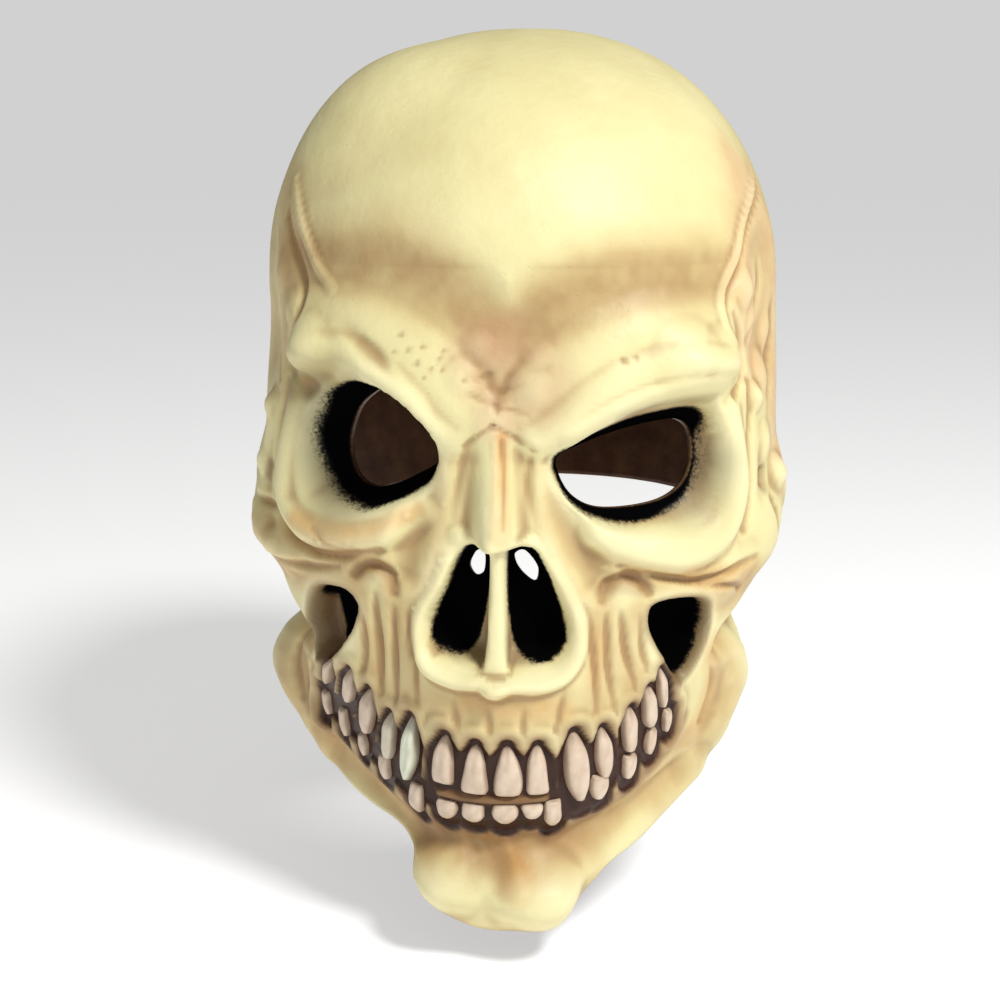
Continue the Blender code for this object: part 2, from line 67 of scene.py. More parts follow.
def bends(xs):
    """Matrix that turns values at xs into the second derivatives of the natural cubic spline through them."""
    if tuple(xs) in BENDS:
        return BENDS[tuple(xs)]
    n, gaps = len(xs), np.diff(xs)
    left, right = np.zeros((n, n)), np.zeros((n, n))
    left[0, 0] = left[-1, -1] = 1.0
    for i in range(1, n - 1):
        a, b = gaps[i - 1], gaps[i]
        left[i, i - 1 : i + 2] = a, 2 * (a + b), b
        right[i, i - 1 : i + 2] = 6 / a, -6 / a - 6 / b, 6 / b
    BENDS[tuple(xs)] = np.linalg.solve(left, right)
    return BENDS[tuple(xs)]


def spline_rows(xs, values, where):
    """Natural cubic spline: for each number in where, the value in its own row of values."""
    second = values @ bends(xs).T
    k = np.clip(np.searchsorted(xs, where) - 1, 0, len(xs) - 2)
    gap, d, i = np.diff(xs)[k], where - xs[k], np.arange(len(k))
    y0, y1, m0, m1 = values[i, k], values[i, k + 1], second[i, k], second[i, k + 1]
    slope = (y1 - y0) / gap - gap * (2 * m0 + m1) / 6
    return y0 + d * slope + d**2 * m0 / 2 + d**3 * (m1 - m0) / (6 * gap)


def spline(xs, values, where):
    """The same for columns of values that all points share."""
    xs, values, where = (np.asarray(a, float) for a in (xs, values, where))
    columns = values.reshape(len(xs), -1)
    second = bends(xs) @ columns
    at = where.ravel()
    k = np.clip(np.searchsorted(xs, at) - 1, 0, len(xs) - 2)
    gap, d = np.diff(xs)[k][:, None], (at - xs[k])[:, None]
    y0, y1, m0, m1 = columns[k], columns[k + 1], second[k], second[k + 1]
    slope = (y1 - y0) / gap - gap * (2 * m0 + m1) / 6
    found = y0 + d * slope + d**2 * m0 / 2 + d**3 * (m1 - m0) / (6 * gap)
    return found.reshape(where.shape + (columns.shape[1],))


def ease(x):
    x = np.clip(x, 0.0, 1.0)
    return x * x * (3 - 2 * x)


def rounded(rows, steps, closed=False):
    """A smooth curve through the rows of a table."""
    p = np.array(rows, float)
    if closed:
        p = np.concatenate([p[-1:], p, p[:2]])
    else:
        p = np.concatenate([2 * p[:1] - p[1:2], p, 2 * p[-1:] - p[-2:-1]])
    found = []
    for a, b, c, d in zip(p, p[1:], p[2:], p[3:]):
        for t in np.arange(steps) / steps:
            found.append(0.5 * (2 * b + (c - a) * t + (2 * a - 5 * b + 4 * c - d) * t**2 + (3 * b - a - 3 * c + d) * t**3))
    if not closed:
        found.append(p[-2])
    return np.array(found)


# ------------------------------------------------------------------ head form
def form_point(section, degrees):
    """Point of the head form at a row number of FORM, with parts of a row allowed, and an angle from the front."""
    table = spline(np.arange(len(FORM)), FORM, section)
    tilt, centre, radii = np.radians(table[..., 0]), table[..., 1], table[..., 2:]
    half = np.array(FORM_DEGREES, float)
    angles = np.concatenate([-half[:0:-1], half])
    radii = np.concatenate([radii[..., :0:-1], radii], -1)
    angles = np.concatenate([angles[-4:-1] - 360, angles, angles[1:4] + 360])
    radii = np.concatenate([radii[..., -4:-1], radii, radii[..., 1:4]], -1)
    degrees = np.broadcast_to(degrees, section.shape)
    radius = spline_rows(angles, radii.reshape(-1, len(angles)), degrees.ravel()).reshape(section.shape)
    a, flat = np.radians(degrees), radius * np.cos(tilt)
    return np.stack([flat * np.sin(a), -flat * np.cos(a), centre + radius * np.sin(tilt)], -1)


def section_at(height, degrees):
    low, high = np.zeros(height.shape), np.full(height.shape, len(FORM) - 1.0)
    for _ in range(24):
        middle = (low + high) / 2
        above = form_point(middle, degrees)[..., 2] > height
        low, high = np.where(above, middle, low), np.where(above, high, middle)
    return (low + high) / 2


def on_form(degrees, height):
    degrees, height = np.asarray(degrees, float), np.asarray(height, float)
    return form_point(section_at(height, degrees), degrees)


def outward(section, degrees):
    across = form_point(section, degrees + 0.4) - form_point(section, degrees - 0.4)
    down = form_point(section + 0.02, degrees) - form_point(section - 0.02, degrees)
    normal = np.cross(down, across)
    normal /= np.linalg.norm(normal, axis=-1, keepdims=True)
    away = (normal * (form_point(section, degrees) - HEAD_CENTRE)).sum(-1, keepdims=True)
    return np.where(away > 0, normal, -normal)


def raised(degrees, height, level):
    """Points at a level over the head form."""
    degrees, height = np.asarray(degrees, float), np.asarray(height, float)
    section = section_at(height, degrees)
    return form_point(section, degrees) + outward(section, degrees) * np.asarray(level, float)[..., None]


# ------------------------------------------------------------------ relief
def add_swelling(points, level, degrees, height, radius, rise):
    q = np.linalg.norm(points - on_form(degrees, height), axis=1) / radius
    level += rise * np.where(q < 1, (1 - q * q) ** 2, 0.0)


def add_ridge(points, level, rows, top=None):
    """A ridge along the rows; with top given, a flat-topped one that is the higher of itself and what is there."""
    rows = rounded(rows, 5)
    path = on_form(rows[:, 0], rows[:, 1])
    nearest = np.full(len(points), 1e9)
    radius, rise = np.ones(len(points)), np.zeros(len(points))
    for i in range(len(path) - 1):
        step = path[i + 1] - path[i]
        share = np.clip((points - path[i]) @ step / (step @ step), 0, 1)
        gap = np.linalg.norm(points - path[i] - share[:, None] * step, axis=1)
        closer = gap < nearest
        nearest[closer] = gap[closer]
        radius[closer] = (rows[i, 2] + share * (rows[i + 1, 2] - rows[i, 2]))[closer]
        rise[closer] = (rows[i, 3] + share * (rows[i + 1, 3] - rows[i, 3]))[closer]
    q = nearest / radius
    if top is None:
        level += rise * np.where(q < 1, (1 - q * q) ** 2, 0.0)
    else:
        level[:] = np.where(q < 1, np.maximum(level, top + rise * np.sqrt(np.clip(1 - q * q, 0, 1))), level)


def inside(degrees, height, outline):
    """Distance in from a closed outline on the unrolled face, negative outside."""
    ring = rounded(outline, 4, closed=True) * (CHART, 1.0)
    x, z = degrees * CHART, height
    nearest, odd = np.full(x.shape, 1e9), np.zeros(x.shape, bool)
    for (ax, az), (bx, bz) in zip(ring, np.roll(ring, -1, 0)):
        dx, dz = bx - ax, bz - az
        share = np.clip(((x - ax) * dx + (z - az) * dz) / (dx * dx + dz * dz + 1e-12), 0, 1)
        nearest = np.minimum(nearest, np.hypot(x - ax - share * dx, z - az - share * dz))
        odd ^= ((az > z) != (bz > z)) & (x < dx * (z - az) / (dz + 1e-12) + ax)
    return np.where(odd, nearest, -nearest)


# Rounded swellings: degrees, height, radius, rise.
SWELLINGS = {
    "dome_left": ((-62, 60, 40, 1.5), (-50, 95, 45, 4.0), (-20, 104, 45, 1.5)),
    "dome_right": ((50, 80, 40, 1.5),),
    "brow_knob_left": ((-36, 18, 14, 3.0), (-34, 18, 13, 2.6), (-36.5, 12.5, 7, 0.8), (-36.5, 6, 7, -1.6), (-30.5, 8.5, 6, -0.8)),
    "brow_knob_right": ((33, 17, 14, 4.0), (41, 16, 12, 4.0), (34, 20, 9, 1.2)),
    "cheek_left": ((-72, -30, 20, 3.0), (-60, -44, 20, 5.0), (-50, -50, 13, 3.0), (-54, -42, 7, 1.5)),
    "cheek_right": ((72, -32, 20, 3.0), (60, -46, 20, 5.0), (48, -54, 14, 3.0)),
    "chin_left": ((-11.5, -151, 16, 5.5), (-8, -159, 14, 2.5), (0, -157, 15, 3.2)),
    "chin_right": ((8, -155, 17, 7.0), (10, -160, 13, 3.0), (13, -150, 9, 1.5)),
    "temple_left": ((-61, 45, 22, -2.5), (-61, 18, 22, -3.5)),
    "temple_right": ((62, 45, 22, -2.5), (62, 18, 22, -3.5)),
    "jaw_angle_left": ((-70, -98, 22, 10.0), (-60, -114, 18, 5.0)),
    "jaw_angle_right": ((66, -98, 16, 4.0), (60, -112, 14, 3.0)),
    "upper_jaw": ((-9, -80, 26, 2.5), (9, -80, 26, 2.5)),
    "temple_bulge_right": ((52, 36, 8, 1.8), (57, 24, 8, 1.6), (62, 8, 9, 2.0), (68, 20, 8, 1.2), (56, 1, 6, 2.4)),
    "temple_bulge_left": ((-44, 30, 7, 1.2), (-50, 40, 8, 1.0), (-54, -3, 6, 2.0), (-57, -22, 7, 2.0)),
    "cheek_knob_left": ((-57, -48, 6, 1.5), (-50, -46, 5, 1.2)),
    "ear_right": ((66, -26, 7.5, 3.2), (60, -14, 8, 1.5)),
    "nose_tip": ((-1.0, -38.5, 4.5, 1.5), (-6.0, -36, 4.5, 1.2), (6.0, -37.5, 4, 1.0)),
    "glabella": ((-5, 13, 7, 1.2), (6, 10, 8, 1.2), (-3, 22, 6, 0.8), (7, 20, 6, 0.7)),
    "spine_of_nose": ((0, -83, 4.5, 1.8),),
}
# Ridges, and grooves where the rise is negative: degrees, height, radius, rise.
RIDGES = {
    "frown": ((-38, 45, 15, -1.0), (-20, 44, 17, -2.0), (-9, 38, 16, -2.5), (2, 29, 14, -3.0), (10, 35, 16, -2.5), (22, 42, 17, -2.0), (42, 42, 14, -1.0)),
    "brow_band_left": ((-38, 24, 16, 3.0), (-27, 22, 19, 4.5), (-15, 13, 18, 4.5), (-5, 0, 14, 3.0)),
    "brow_band_right": ((6, 0, 14, 3.0), (16, 13, 18, 4.5), (28, 21, 19, 5.0), (42, 22, 16, 3.5)),
    "brow_bar_left": ((-38, 15, 8, 2.0), (-32, 16, 9, 2.5), (-25, 16, 8.5, 3.2), (-19.5, 11.5, 8, 3.4), (-15, 5, 7.5, 3.2), (-12, -2, 7, 2.8), (-8, -8, 7, 1.5)),
    "brow_bar_right": ((7, -7, 7, 2.0), (12, -2, 8, 3.0), (17, 5, 9, 3.2), (23, 10, 10, 3.6), (31, 13, 10, 4.0), (38, 12.5, 9, 4.0), (45, 11, 8, 2.5)),
    "brow_edge_right": ((13, -5, 4.5, 1.2), (18, 0.5, 5, 1.8), (24, 5.5, 5, 2.2), (30, 7.5, 5, 2.4), (37, 7.5, 5, 2.4), (43, 5.5, 5, 1.6)),
    "brow_end_right": ((46.5, 28, 3.4, -1.2), (50.5, 18, 3.6, -2.2), (50.5, 9, 3.6, -2.4), (47, 3, 3.6, -1.5)),
    "brow_crease_left": ((-28, 28, 3.6, 0), (-24.5, 24, 3.8, -0.8), (-21, 19.5, 3.8, -1.4), (-18.8, 16.3, 3.4, -1.2), (-16, 10.5, 2.5, 0)),
    "eye_side_left": ((-41, 5, 6, 1.0), (-43.2, -9, 6.5, 2.6), (-45.0, -22, 7, 3.2), (-44.5, -33, 7, 3.4), (-38.5, -40, 7, 3.4), (-30, -40.5, 7, 3.2), (-20, -37, 6.5, 2.6), (-13, -29.5, 6, 1.8)),
    "eye_groove_left": ((-45.4, 6, 3.2, -0.8), (-48.2, -8, 3.4, -2.0), (-49.6, -22, 3.4, -2.6), (-49.2, -34, 3.6, -2.8), (-45, -43.5, 3.6, -2.6), (-37, -47, 3.2, -2.4), (-29.5, -46, 3.0, -1.8), (-21, -42.5, 3.0, -1.2)),
    "cheek_edge_left": ((-52, -2, 6, 1.5), (-55, -18, 6, 2.0), (-57, -34, 7, 2.2), (-53, -47, 7, 2.0), (-44, -53, 6, 1.4)),
    "eye_side_right": ((46, 0, 5.5, 1.8), (47, -13, 6.5, 2.8), (47.3, -27, 7, 3.4), (43.5, -40, 7.5, 3.8), (34.5, -45, 7.5, 3.8), (25.5, -42, 7, 3.2), (17.5, -36, 6.5, 2.2)),
    "eye_groove_right": ((53.5, 6, 3.2, -1.0), (53, -4, 3.2, -1.6), (52, -15, 3.4, -2.0), (52.3, -28, 3.4, -1.8), (50.5, -40, 3.2, -1.0)),
    "under_cheek_left": ((-92, -58, 16, -3.0), (-80, -70, 15, -6.0), (-64, -75, 12, -9.0), (-52, -80, 10, -7.0)),
    "under_cheek_right": ((92, -58, 18, -5.0), (80, -72, 18, -9.0), (66, -75, 14, -10.0), (54, -80, 10, -6.0)),
    "nose_side_left": ((-12, -12, 6, -2.0), (-13, -24, 8, -3.0), (-15, -36, 8, -3.5), (-17, -48, 8, -3.0)),
    "nose_side_right": ((10, -14, 5, -2.0), (11, -26, 7, -3.0), (14, -38, 8, -3.0), (18, -50, 8, -3.0)),
    "nose_bone": ((0, 3, 7, 1.0), (0, -8, 8, 3.0), (0, -22, 9.5, 6.5), (0, -32, 10, 9.0), (0, -37.5, 9, 9.5)),
    "nose_rim": ((-8.4, -45, 3.0, 1.0), (-11, -54, 3.2, 1.2), (-14, -63, 3.4, 1.5), (-14.4, -71, 3.6, 2.2), (-12, -78, 3.8, 3.2), (-7, -81.5, 3.8, 3.6), (-2.5, -82, 3.8, 3.8), (0, -84, 4.2, 4.4), (3, -82.5, 3.8, 3.8), (7, -82.5, 3.8, 3.6), (11.5, -80, 3.8, 3.4), (14.6, -73, 3.6, 2.6), (15.2, -64, 3.4, 1.6), (12.8, -54, 3.2, 1.2), (9.8, -45, 3.0, 1.0)),
    "nose_suture_left": ((-0.2, -1.5, 1.6, -0.7), (-2.6, -4.5, 1.6, -0.6), (-5.0, -8, 1.6, -0.5)),
    "nose_suture_right": ((-0.2, -1.5, 1.6, -0.7), (3.2, -5, 1.6, -0.6), (6.7, -9, 1.6, -0.5)),
    "nose_edge_left": ((-5.0, -8, 1.8, -0.3), (-6.2, -18, 2.4, -0.8), (-7.2, -30, 2.4, -0.2)),
    "nose_edge_right": ((6.4, -9, 1.8, -0.3), (5.8, -20, 2.4, -0.7), (7.4, -32, 2.4, -0.2)),
    "nose_ridge": ((0.3, -6, 1.5, 0.5), (0.5, -20, 1.6, 0.6), (0.6, -34, 1.8, 0.5)),
    "nose_groove": ((1.4, -6, 1.1, -0.5), (1.6, -20, 1.1, -0.6), (1.6, -33, 1.2, -0.5)),
    "under_teeth": ((-46, -124, 10, -3.0), (-32, -132, 11, -4.0), (-16, -139, 12, -5.0), (0, -139, 12, -5.0), (16, -139, 12, -5.0), (30, -134, 11, -4.0), (44, -126, 10, -3.0)),
    "jaw_edge": ((-52, -126, 12, 3.0), (-34, -142, 12, 3.0), (-18, -150, 12, 2.0), (18, -150, 12, 2.0), (34, -144, 12, 3.0), (52, -128, 12, 3.0)),
    "chin_cleft": ((-4, -137, 6, -1.0), (-1, -143, 7, -1.8), (1, -149, 6, -1.0), (0, -158, 5, 0)),
    "chin_fold_left": ((-8, -137, 4, 0), (-5.5, -142, 4, -0.9), (-3.5, -148, 4, 0)),
    # forehead and temple lines
    "temple_edge_right": ((74, 72, 3.0, 0.6), (55, 58, 3.0, 1.0), (48, 45, 3.0, 1.2), (42.5, 33, 3.0, 1.0), (42, 26, 3, 0.6)),
    "temple_groove_right": ((76, 70, 3.0, -0.7), (57, 56, 3.0, -1.4), (50.5, 44, 3.0, -1.6), (45, 33, 3.0, -1.6), (45, 25, 3.2, -1.8), (49, 17, 3.2, -1.8), (52, 8, 3.2, -1.0)),
    "temple_loop_right": ((62, 46, 3.4, 0), (62, 36, 3.6, -1.0), (59, 25, 3.6, -1.0), (52, 17, 3.4, -0.4)),
    "temple_back_right": ((71, 38, 3.6, 0), (71, 20, 3.8, -1.0), (66, 4, 3.6, -0.8), (62, -10, 3.4, 0)),
    "temple_ridge_left": ((-50, 68, 3.0, 0.7), (-42, 54, 3.0, 1.3), (-36, 43, 3.0, 1.2), (-31, 37, 3.0, 0.5)),
    "temple_groove_left": ((-50, 58, 2.6, -0.7), (-43.5, 46, 3.0, -1.5), (-39.5, 36, 3.0, -1.8), (-39.5, 27, 3.0, -1.6), (-43, 19, 3.0, -1.0)),
    "temple_back_left": ((-56, 52, 2.6, -0.6), (-54, 36, 2.6, -1.0), (-52, 20, 2.6, -1.0), (-50, 6, 2.6, -0.6)),
    # glabella folds
    "frown_fold_left": ((-8, 27, 3.2, 0), (-3.8, 18, 3.2, -0.4), (-0.6, 10, 2.6, -0.7), (0.4, 2, 1.8, -0.3)),
    "frown_fold_right": ((9, 28, 3.2, 0), (4.4, 18, 3.2, -0.4), (1.6, 10, 2.6, -0.6), (0.4, 2, 1.8, -0.3)),
    "frown_line_a": ((-5.0, 13.5, 1.5, -0.3), (-3.2, 12.0, 1.5, -0.5), (-0.6, 13.5, 1.5, -0.4)),
    "frown_line_b": ((-4.6, 8.5, 1.5, -0.1), (-2.2, 5.6, 1.5, -0.35), (0.1, 4.2, 1.5, -0.4)),
    "frown_line_c": ((1.0, 8.5, 1.5, -0.4), (3.6, 9.8, 1.5, -0.3), (6.0, 11.8, 1.5, -0.1)),
    "frown_line_d": ((1.0, 3.5, 1.4, -0.4), (3.4, 3.0, 1.4, -0.3), (5.6, 1.6, 1.4, -0.1)),
    # cheeks
    "cheek_fold_left_a": ((-35, -38.5, 2.0, -0.4), (-31.5, -42, 2.2, -0.8), (-28, -43.5, 2.0, -0.4)),
    "cheek_fold_left_b": ((-58, -52, 2.4, -0.8), (-48, -53, 2.4, -1.4), (-39, -52.5, 2.4, -1.4), (-31, -50, 2.2, -0.7)),
    "cheek_fold_left_c": ((-60, -33, 2.2, -0.7), (-52, -36, 2.4, -1.2), (-46, -36.5, 2.2, -0.6)),
    "cheek_side_left": ((-59, -6, 3.4, 0), (-61, -20, 3.6, -1.2), (-61, -36, 3.4, 0)),
    "cheek_fold_right_a": ((22, -46, 2.4, -0.7), (28, -49.5, 2.6, -1.5), (33, -52, 2.6, -2.2), (38, -54.5, 2.6, -2.6), (43, -54, 2.6, -2.4), (48, -51.5, 2.6, -1.6), (54, -50, 2.4, -0.6)),
    "cheek_fold_right_b": ((40, -56.5, 2.2, -0.6), (45, -57, 2.2, -1.4), (50, -58.5, 2.2, -1.4), (54, -62, 2.2, -0.8)),
    "cheek_side_right": ((58, -6, 3.6, 0), (57.5, -20, 4.0, -0.8), (56, -38, 3.6, 0)),
    "ear_hole_right": ((58.6, -24.5, 3.2, -4.5), (58.6, -27.0, 3.2, -4.5)),
    "ear_line_right": ((60, -31, 2.4, 0), (62, -37, 2.6, -1.4), (63, -46, 2.4, 0)),
    "foramen_left": ((-27.5, -52, 3.2, -1.6), (-25, -48.5, 3.4, -2.4), (-22, -48, 3.4, -2.8), (-19.8, -51.5, 3.2, -2.4), (-19, -56, 3.0, -1.2)),
    "foramen_right": ((19.0, -57, 3.0, -1.4), (20.4, -52.5, 3.4, -2.6), (23.2, -50.0, 3.4, -3.2), (26, -51.5, 3.2, -2.8), (28.3, -56, 3.0, -1.4)),
    # upper jaw: grooves between the roots
    "root_a": ((-27.5, -60, 2.2, 0), (-27.0, -68, 2.6, -1.3), (-27.4, -78, 2.6, -1.6), (-29, -88, 2.2, -0.3)),
    "root_b": ((-22.8, -55, 2.2, 0), (-23.3, -64, 2.6, -1.6), (-23.4, -76, 2.8, -2.2), (-24.0, -91, 2.2, -0.4)),
    "root_c": ((-19.0, -58, 2.2, 0), (-19.4, -68, 2.4, -1.3), (-19.6, -80, 2.6, -1.8), (-20.2, -94, 2.0, -0.3)),
    "root_d": ((-16.4, -60, 2.2, 0), (-15.4, -70, 2.4, -1.2), (-14.8, -79, 2.4, -1.5), (-14.6, -92, 2.2, -0.3)),
    "root_e": ((-7.4, -86, 2.4, 0), (-7, -93, 2.4, -0.8), (-7, -99, 2.0, -0.4)),
    "root_f": ((-1.4, -88, 2.4, 0), (-1, -94, 2.2, -0.7), (-1, -100, 2.0, -0.4)),
    "root_g": ((5.4, -88, 2.4, 0), (5, -94, 2.2, -0.7), (5, -100, 2.0, -0.4)),
    "root_h": ((12.6, -83, 2.4, 0), (11.6, -90, 2.4, -0.9), (11, -98, 2.0, -0.4)),
    "root_i": ((16.6, -62, 2.4, 0), (17.4, -71, 2.4, -1.3), (18.2, -81, 2.4, -1.7), (18.8, -94, 2.0, -0.3)),
    "root_j": ((20.0, -59, 2.4, 0), (20.3, -68, 2.4, -1.4), (20.8, -79, 2.6, -1.8), (22.6, -92, 2.0, -0.3)),
    "root_k": ((22.6, -59, 2.4, 0), (23.4, -67, 2.6, -1.4), (24.6, -76, 2.6, -1.8), (27.2, -87, 2.0, -0.3)),
    "root_l": ((26.6, -61, 2.2, 0), (27.4, -68, 2.4, -1.1), (28.2, -76, 2.4, -1.3), (30.0, -83, 2.0, 0)),
    # jaw branches
    "branch_left_a": ((-58, -82, 3.0, -0.9), (-60, -94, 3.0, -1.2), (-58, -106, 3.0, -0.8)),
    "branch_left_b": ((-52, -92, 3.0, 0.9), (-54, -104, 3.0, 1.3), (-51, -114, 3.0, 0.8)),
    "branch_right": ((49, -84, 3.0, -0.7), (52, -96, 3.0, -1.0), (50, -108, 3.0, -0.8)),
}
EYE_LEFT = ((-28, 10), (-33.5, 6.5), (-38, 0.5), (-40.5, -12), (-41.5, -24), (-39.5, -33), (-33, -35.5), (-23, -32), (-14.5, -26.5), (-10.6, -17), (-10.2, -7), (-14.6, 3.5), (-20.5, 9.5))
EYE_LEFT_HOLE = ((-26, 5.5), (-30.5, 0), (-32.8, -8.5), (-32.5, -16.5), (-30, -23), (-25.5, -25.5), (-20.5, -23.5), (-15.5, -19.5), (-11.6, -15.5), (-10.9, -10), (-12.4, -4), (-15.6, 2.6), (-19, 6.8), (-22.5, 7.4))
EYE_RIGHT = ((10, -12), (14, -6.5), (19.5, -0.5), (25.5, 4), (32, 5.2), (39, 4.5), (43, 0.5), (44.5, -8), (44.8, -18), (44.5, -29), (41.5, -37), (34.5, -40), (25.5, -37.5), (18, -33), (12.8, -26), (9.8, -18))
EYE_RIGHT_HOLE = ((10.9, -13.5), (15.5, -9.5), (20.5, -6.5), (26, -4.2), (32, -2.8), (37.5, -2.8), (41.3, -6), (42.2, -12.5), (41.5, -19), (38.8, -25), (33.5, -29), (25.5, -30.5), (18.5, -29.8), (14, -25.8), (11.5, -19.5))
NOSE = ((0, -39), (-4.5, -37.5), (-7.8, -43.5), (-10, -52), (-12.9, -61), (-13.4, -69), (-11.6, -75.8), (-7, -79.2), (0, -81), (7, -79.6), (11.2, -77.5), (13.6, -71.5), (14.0, -63), (11.8, -53.5), (9.2, -45), (6.5, -38.5))
NOSE_FLOOR = ((0, -43), (-4.5, -43), (-6.8, -49), (-8.6, -57), (-10.6, -64), (-10, -70), (-6.5, -72), (0, -72), (6.5, -72.5), (10.5, -70), (11, -64), (9.4, -57), (7.8, -49), (5.5, -43))
JAW_GAP_LEFT = ((-40, -60), (-33, -57), (-28.5, -58.5), (-27.4, -63.5), (-29.5, -71), (-33.5, -78), (-38.0, -84.5), (-43, -88.5), (-47, -86), (-47, -74))
JAW_GAP_LEFT_FLOOR = ((-39, -65), (-33.5, -61.5), (-30.5, -63), (-30.6, -67), (-32.5, -73), (-36.5, -79), (-40, -82.5), (-43, -82), (-43, -74))
JAW_GAP_RIGHT = ((28.6, -60), (34, -58.5), (42, -61), (45, -69), (45.2, -78), (42.5, -87), (38.5, -90), (34.5, -83), (31.5, -76), (28.6, -68))
JAW_GAP_RIGHT_FLOOR = ((31.5, -65), (35, -63), (40, -65), (42.2, -71), (41.8, -78), (39.5, -84), (36.6, -80.5), (33.2, -73))
HOLLOWS = (
    (EYE_LEFT, EYE_LEFT_HOLE, -11.0),
    (EYE_RIGHT, EYE_RIGHT_HOLE, -11.0),
    (NOSE, NOSE_FLOOR, -11.0),
    (JAW_GAP_LEFT, JAW_GAP_LEFT_FLOOR, -10.0),
    (JAW_GAP_RIGHT, JAW_GAP_RIGHT_FLOOR, -11.0),
)
NOSTRIL_LEFT = ((-6.0, -48), (-4.4, -43.2), (-2.8, -43.6), (-3.0, -49.5), (-4.8, -51.4))
NOSTRIL_RIGHT = ((3.2, -43.8), (5.2, -42.8), (7.8, -48.2), (7.6, -53), (5.4, -51), (3.6, -47.4))
SEPTUM_RIDGE = ((0.4, -38, 2.6, 4.5), (0.3, -50, 2.5, 2.2), (0.2, -64, 2.9, 1.4), (0, -74, 3.4, 1.2), (0, -81, 4.2, 1.6), (0, -87, 4.2, -1.0))
# Between the rows of teeth: the gum's own band.
GUM_BAND = ((-47, -98), (-40, -100), (-33, -108), (-26, -113), (-19, -119), (-11, -119), (0, -120), (10, -119), (19, -118), (27, -111), (33, -103), (37, -98), (39, -103), (36, -108), (30, -114), (22, -121), (12, -127), (0, -126), (-11, -126), (-22, -122), (-30, -117), (-38, -111), (-47, -107))
GUM_DEPTH = 1.7
# Teeth: degrees and height of the root and of the tip, half the width, then the kind.
UPPER_TEETH = (
    (-39.5, -85, -43.5, -96, 1.9, "canine"), (-33.2, -87, -36.8, -100, 2.8, "fang"), (-28.0, -92, -31.4, -109, 3.5, "fang"),
    (-22.6, -98, -24.6, -115, 2.9, "fang"), (-17.0, -97, -19.0, -120, 3.3, "canine"), (-9.6, -101, -10.7, -118, 4.0, "incisor"),
    (-3.7, -103, -4.3, -120, 4.3, "incisor"), (2.1, -103, 2.1, -120.3, 4.6, "incisor"), (7.7, -103, 8.0, -120, 3.8, "incisor"),
    (14.6, -100, 16.2, -124, 4.6, "canine"), (20.6, -100, 21.8, -118, 3.1, "fang"), (27.0, -95, 27.9, -111, 3.0, "fang"),
    (31.1, -89, 32.9, -104, 3.0, "fang"), (33.4, -83, 35.8, -98, 1.8, "fang"),
)
LOWER_TEETH = (
    (-48.0, -101, -48.6, -110, 2.4, "stub"), (-40.3, -104, -40.8, -114.5, 2.6, "stub"), (-33.4, -110, -33.1, -118, 2.1, "stub"),
    (-26.0, -114, -25.7, -123, 2.7, "stub"), (-17.0, -120.5, -17.6, -131.5, 2.9, "stub"), (-10.0, -123.3, -10.3, -130, 3.7, "stub"),
    (-4.4, -123.3, -4.4, -129.8, 3.9, "stub"), (1.6, -123, 1.6, -129.8, 4.2, "stub"), (6.7, -123, 6.8, -128, 3.5, "stub"),
    (10.9, -122.5, 11.2, -132, 3.0, "stub"), (20.9, -116.5, 20.6, -125, 3.5, "stub"), (28.2, -112, 27.9, -120.5, 3.0, "stub"),
    (33.8, -105, 33.5, -114, 2.4, "stub"), (37.7, -99.5, 37.9, -107.5, 1.8, "stub"),
)
# Small pits: degrees, height, radius, depth.
PITS = (
    (-15.9, 24.8, 1.3, 0.5), (-14.3, 20.4, 1.2, 0.5), (-12.0, 21.4, 1.2, 0.45), (-12.9, 16.6, 1.3, 0.6), (-9.2, 17.8, 1.2, 0.45),
    (-16.6, 19.8, 1.0, 0.4), (-10.6, 14.8, 1.2, 0.5), (-8.7, 15.0, 1.0, 0.4), (-8.6, 20.0, 1.2, 0.4), (-11.6, 12.6, 1.0, 0.4),
    (21.0, 17.6, 1.6, 0.7), (23.0, 18.2, 1.2, 0.5), (-5.0, 11.8, 1.3, 0.8), (-33, 84, 1.2, 0.6), (-32, 86, 0.9, 0.4), (-44, 51, 1.0, 0.5),
)
# Small blobs and flashing left by the mould.
BLOBS = (
    (-9.0, -26.5, 1.3, 0.6), (-8.4, -24.0, 1.1, 0.5), (-16.0, -31, 1.6, 0.9), (-33.6, -42.3, 1.6, 1.0), (-27.2, -42, 1.4, 0.9), (-10.6, -40, 1.1, 0.5),
    (-9.8, -44, 1.3, 0.7), (-10.6, -47, 1.0, 0.5), (-12.2, -52, 0.9, 0.4), (10.2, -46, 1.0, 0.5), (11.4, -50, 1.0, 0.5), (13.0, -56, 0.9, 0.4), (19.5, -46.5, 1.1, 0.5),
    (22.0, -50.0, 0.9, 0.4), (28.0, -49.0, 0.9, 0.4), (14.6, -68, 1.0, 0.4), (-15.2, -60, 0.9, 0.4), (-18.6, -52, 1.0, 0.6), (26.8, -53, 0.9, 0.4),
)


def tooth_gap(degrees, height, teeth, margin):
    """Distance inside the nearest tooth's outline grown by a margin, in millimetres of the unrolled face."""
    best = np.full(degrees.shape, -50.0)
    x, z = degrees * CHART, height
    for root_at, root, tip_at, tip, half, _ in teeth:
        ax, az, bx, bz = root_at * CHART, root, tip_at * CHART, tip
        dx, dz = bx - ax, bz - az
        share = np.clip(((x - ax) * dx + (z - az) * dz) / (dx * dx + dz * dz), 0, 1)
        gap = np.hypot(x - ax - share * dx, z - az - share * dz)
        width = (half + margin) * (0.35 + 0.65 * np.clip(share / 0.35, 0, 1)) if teeth is UPPER_TEETH else half + margin
        best = np.maximum(best, width - gap)
    return best


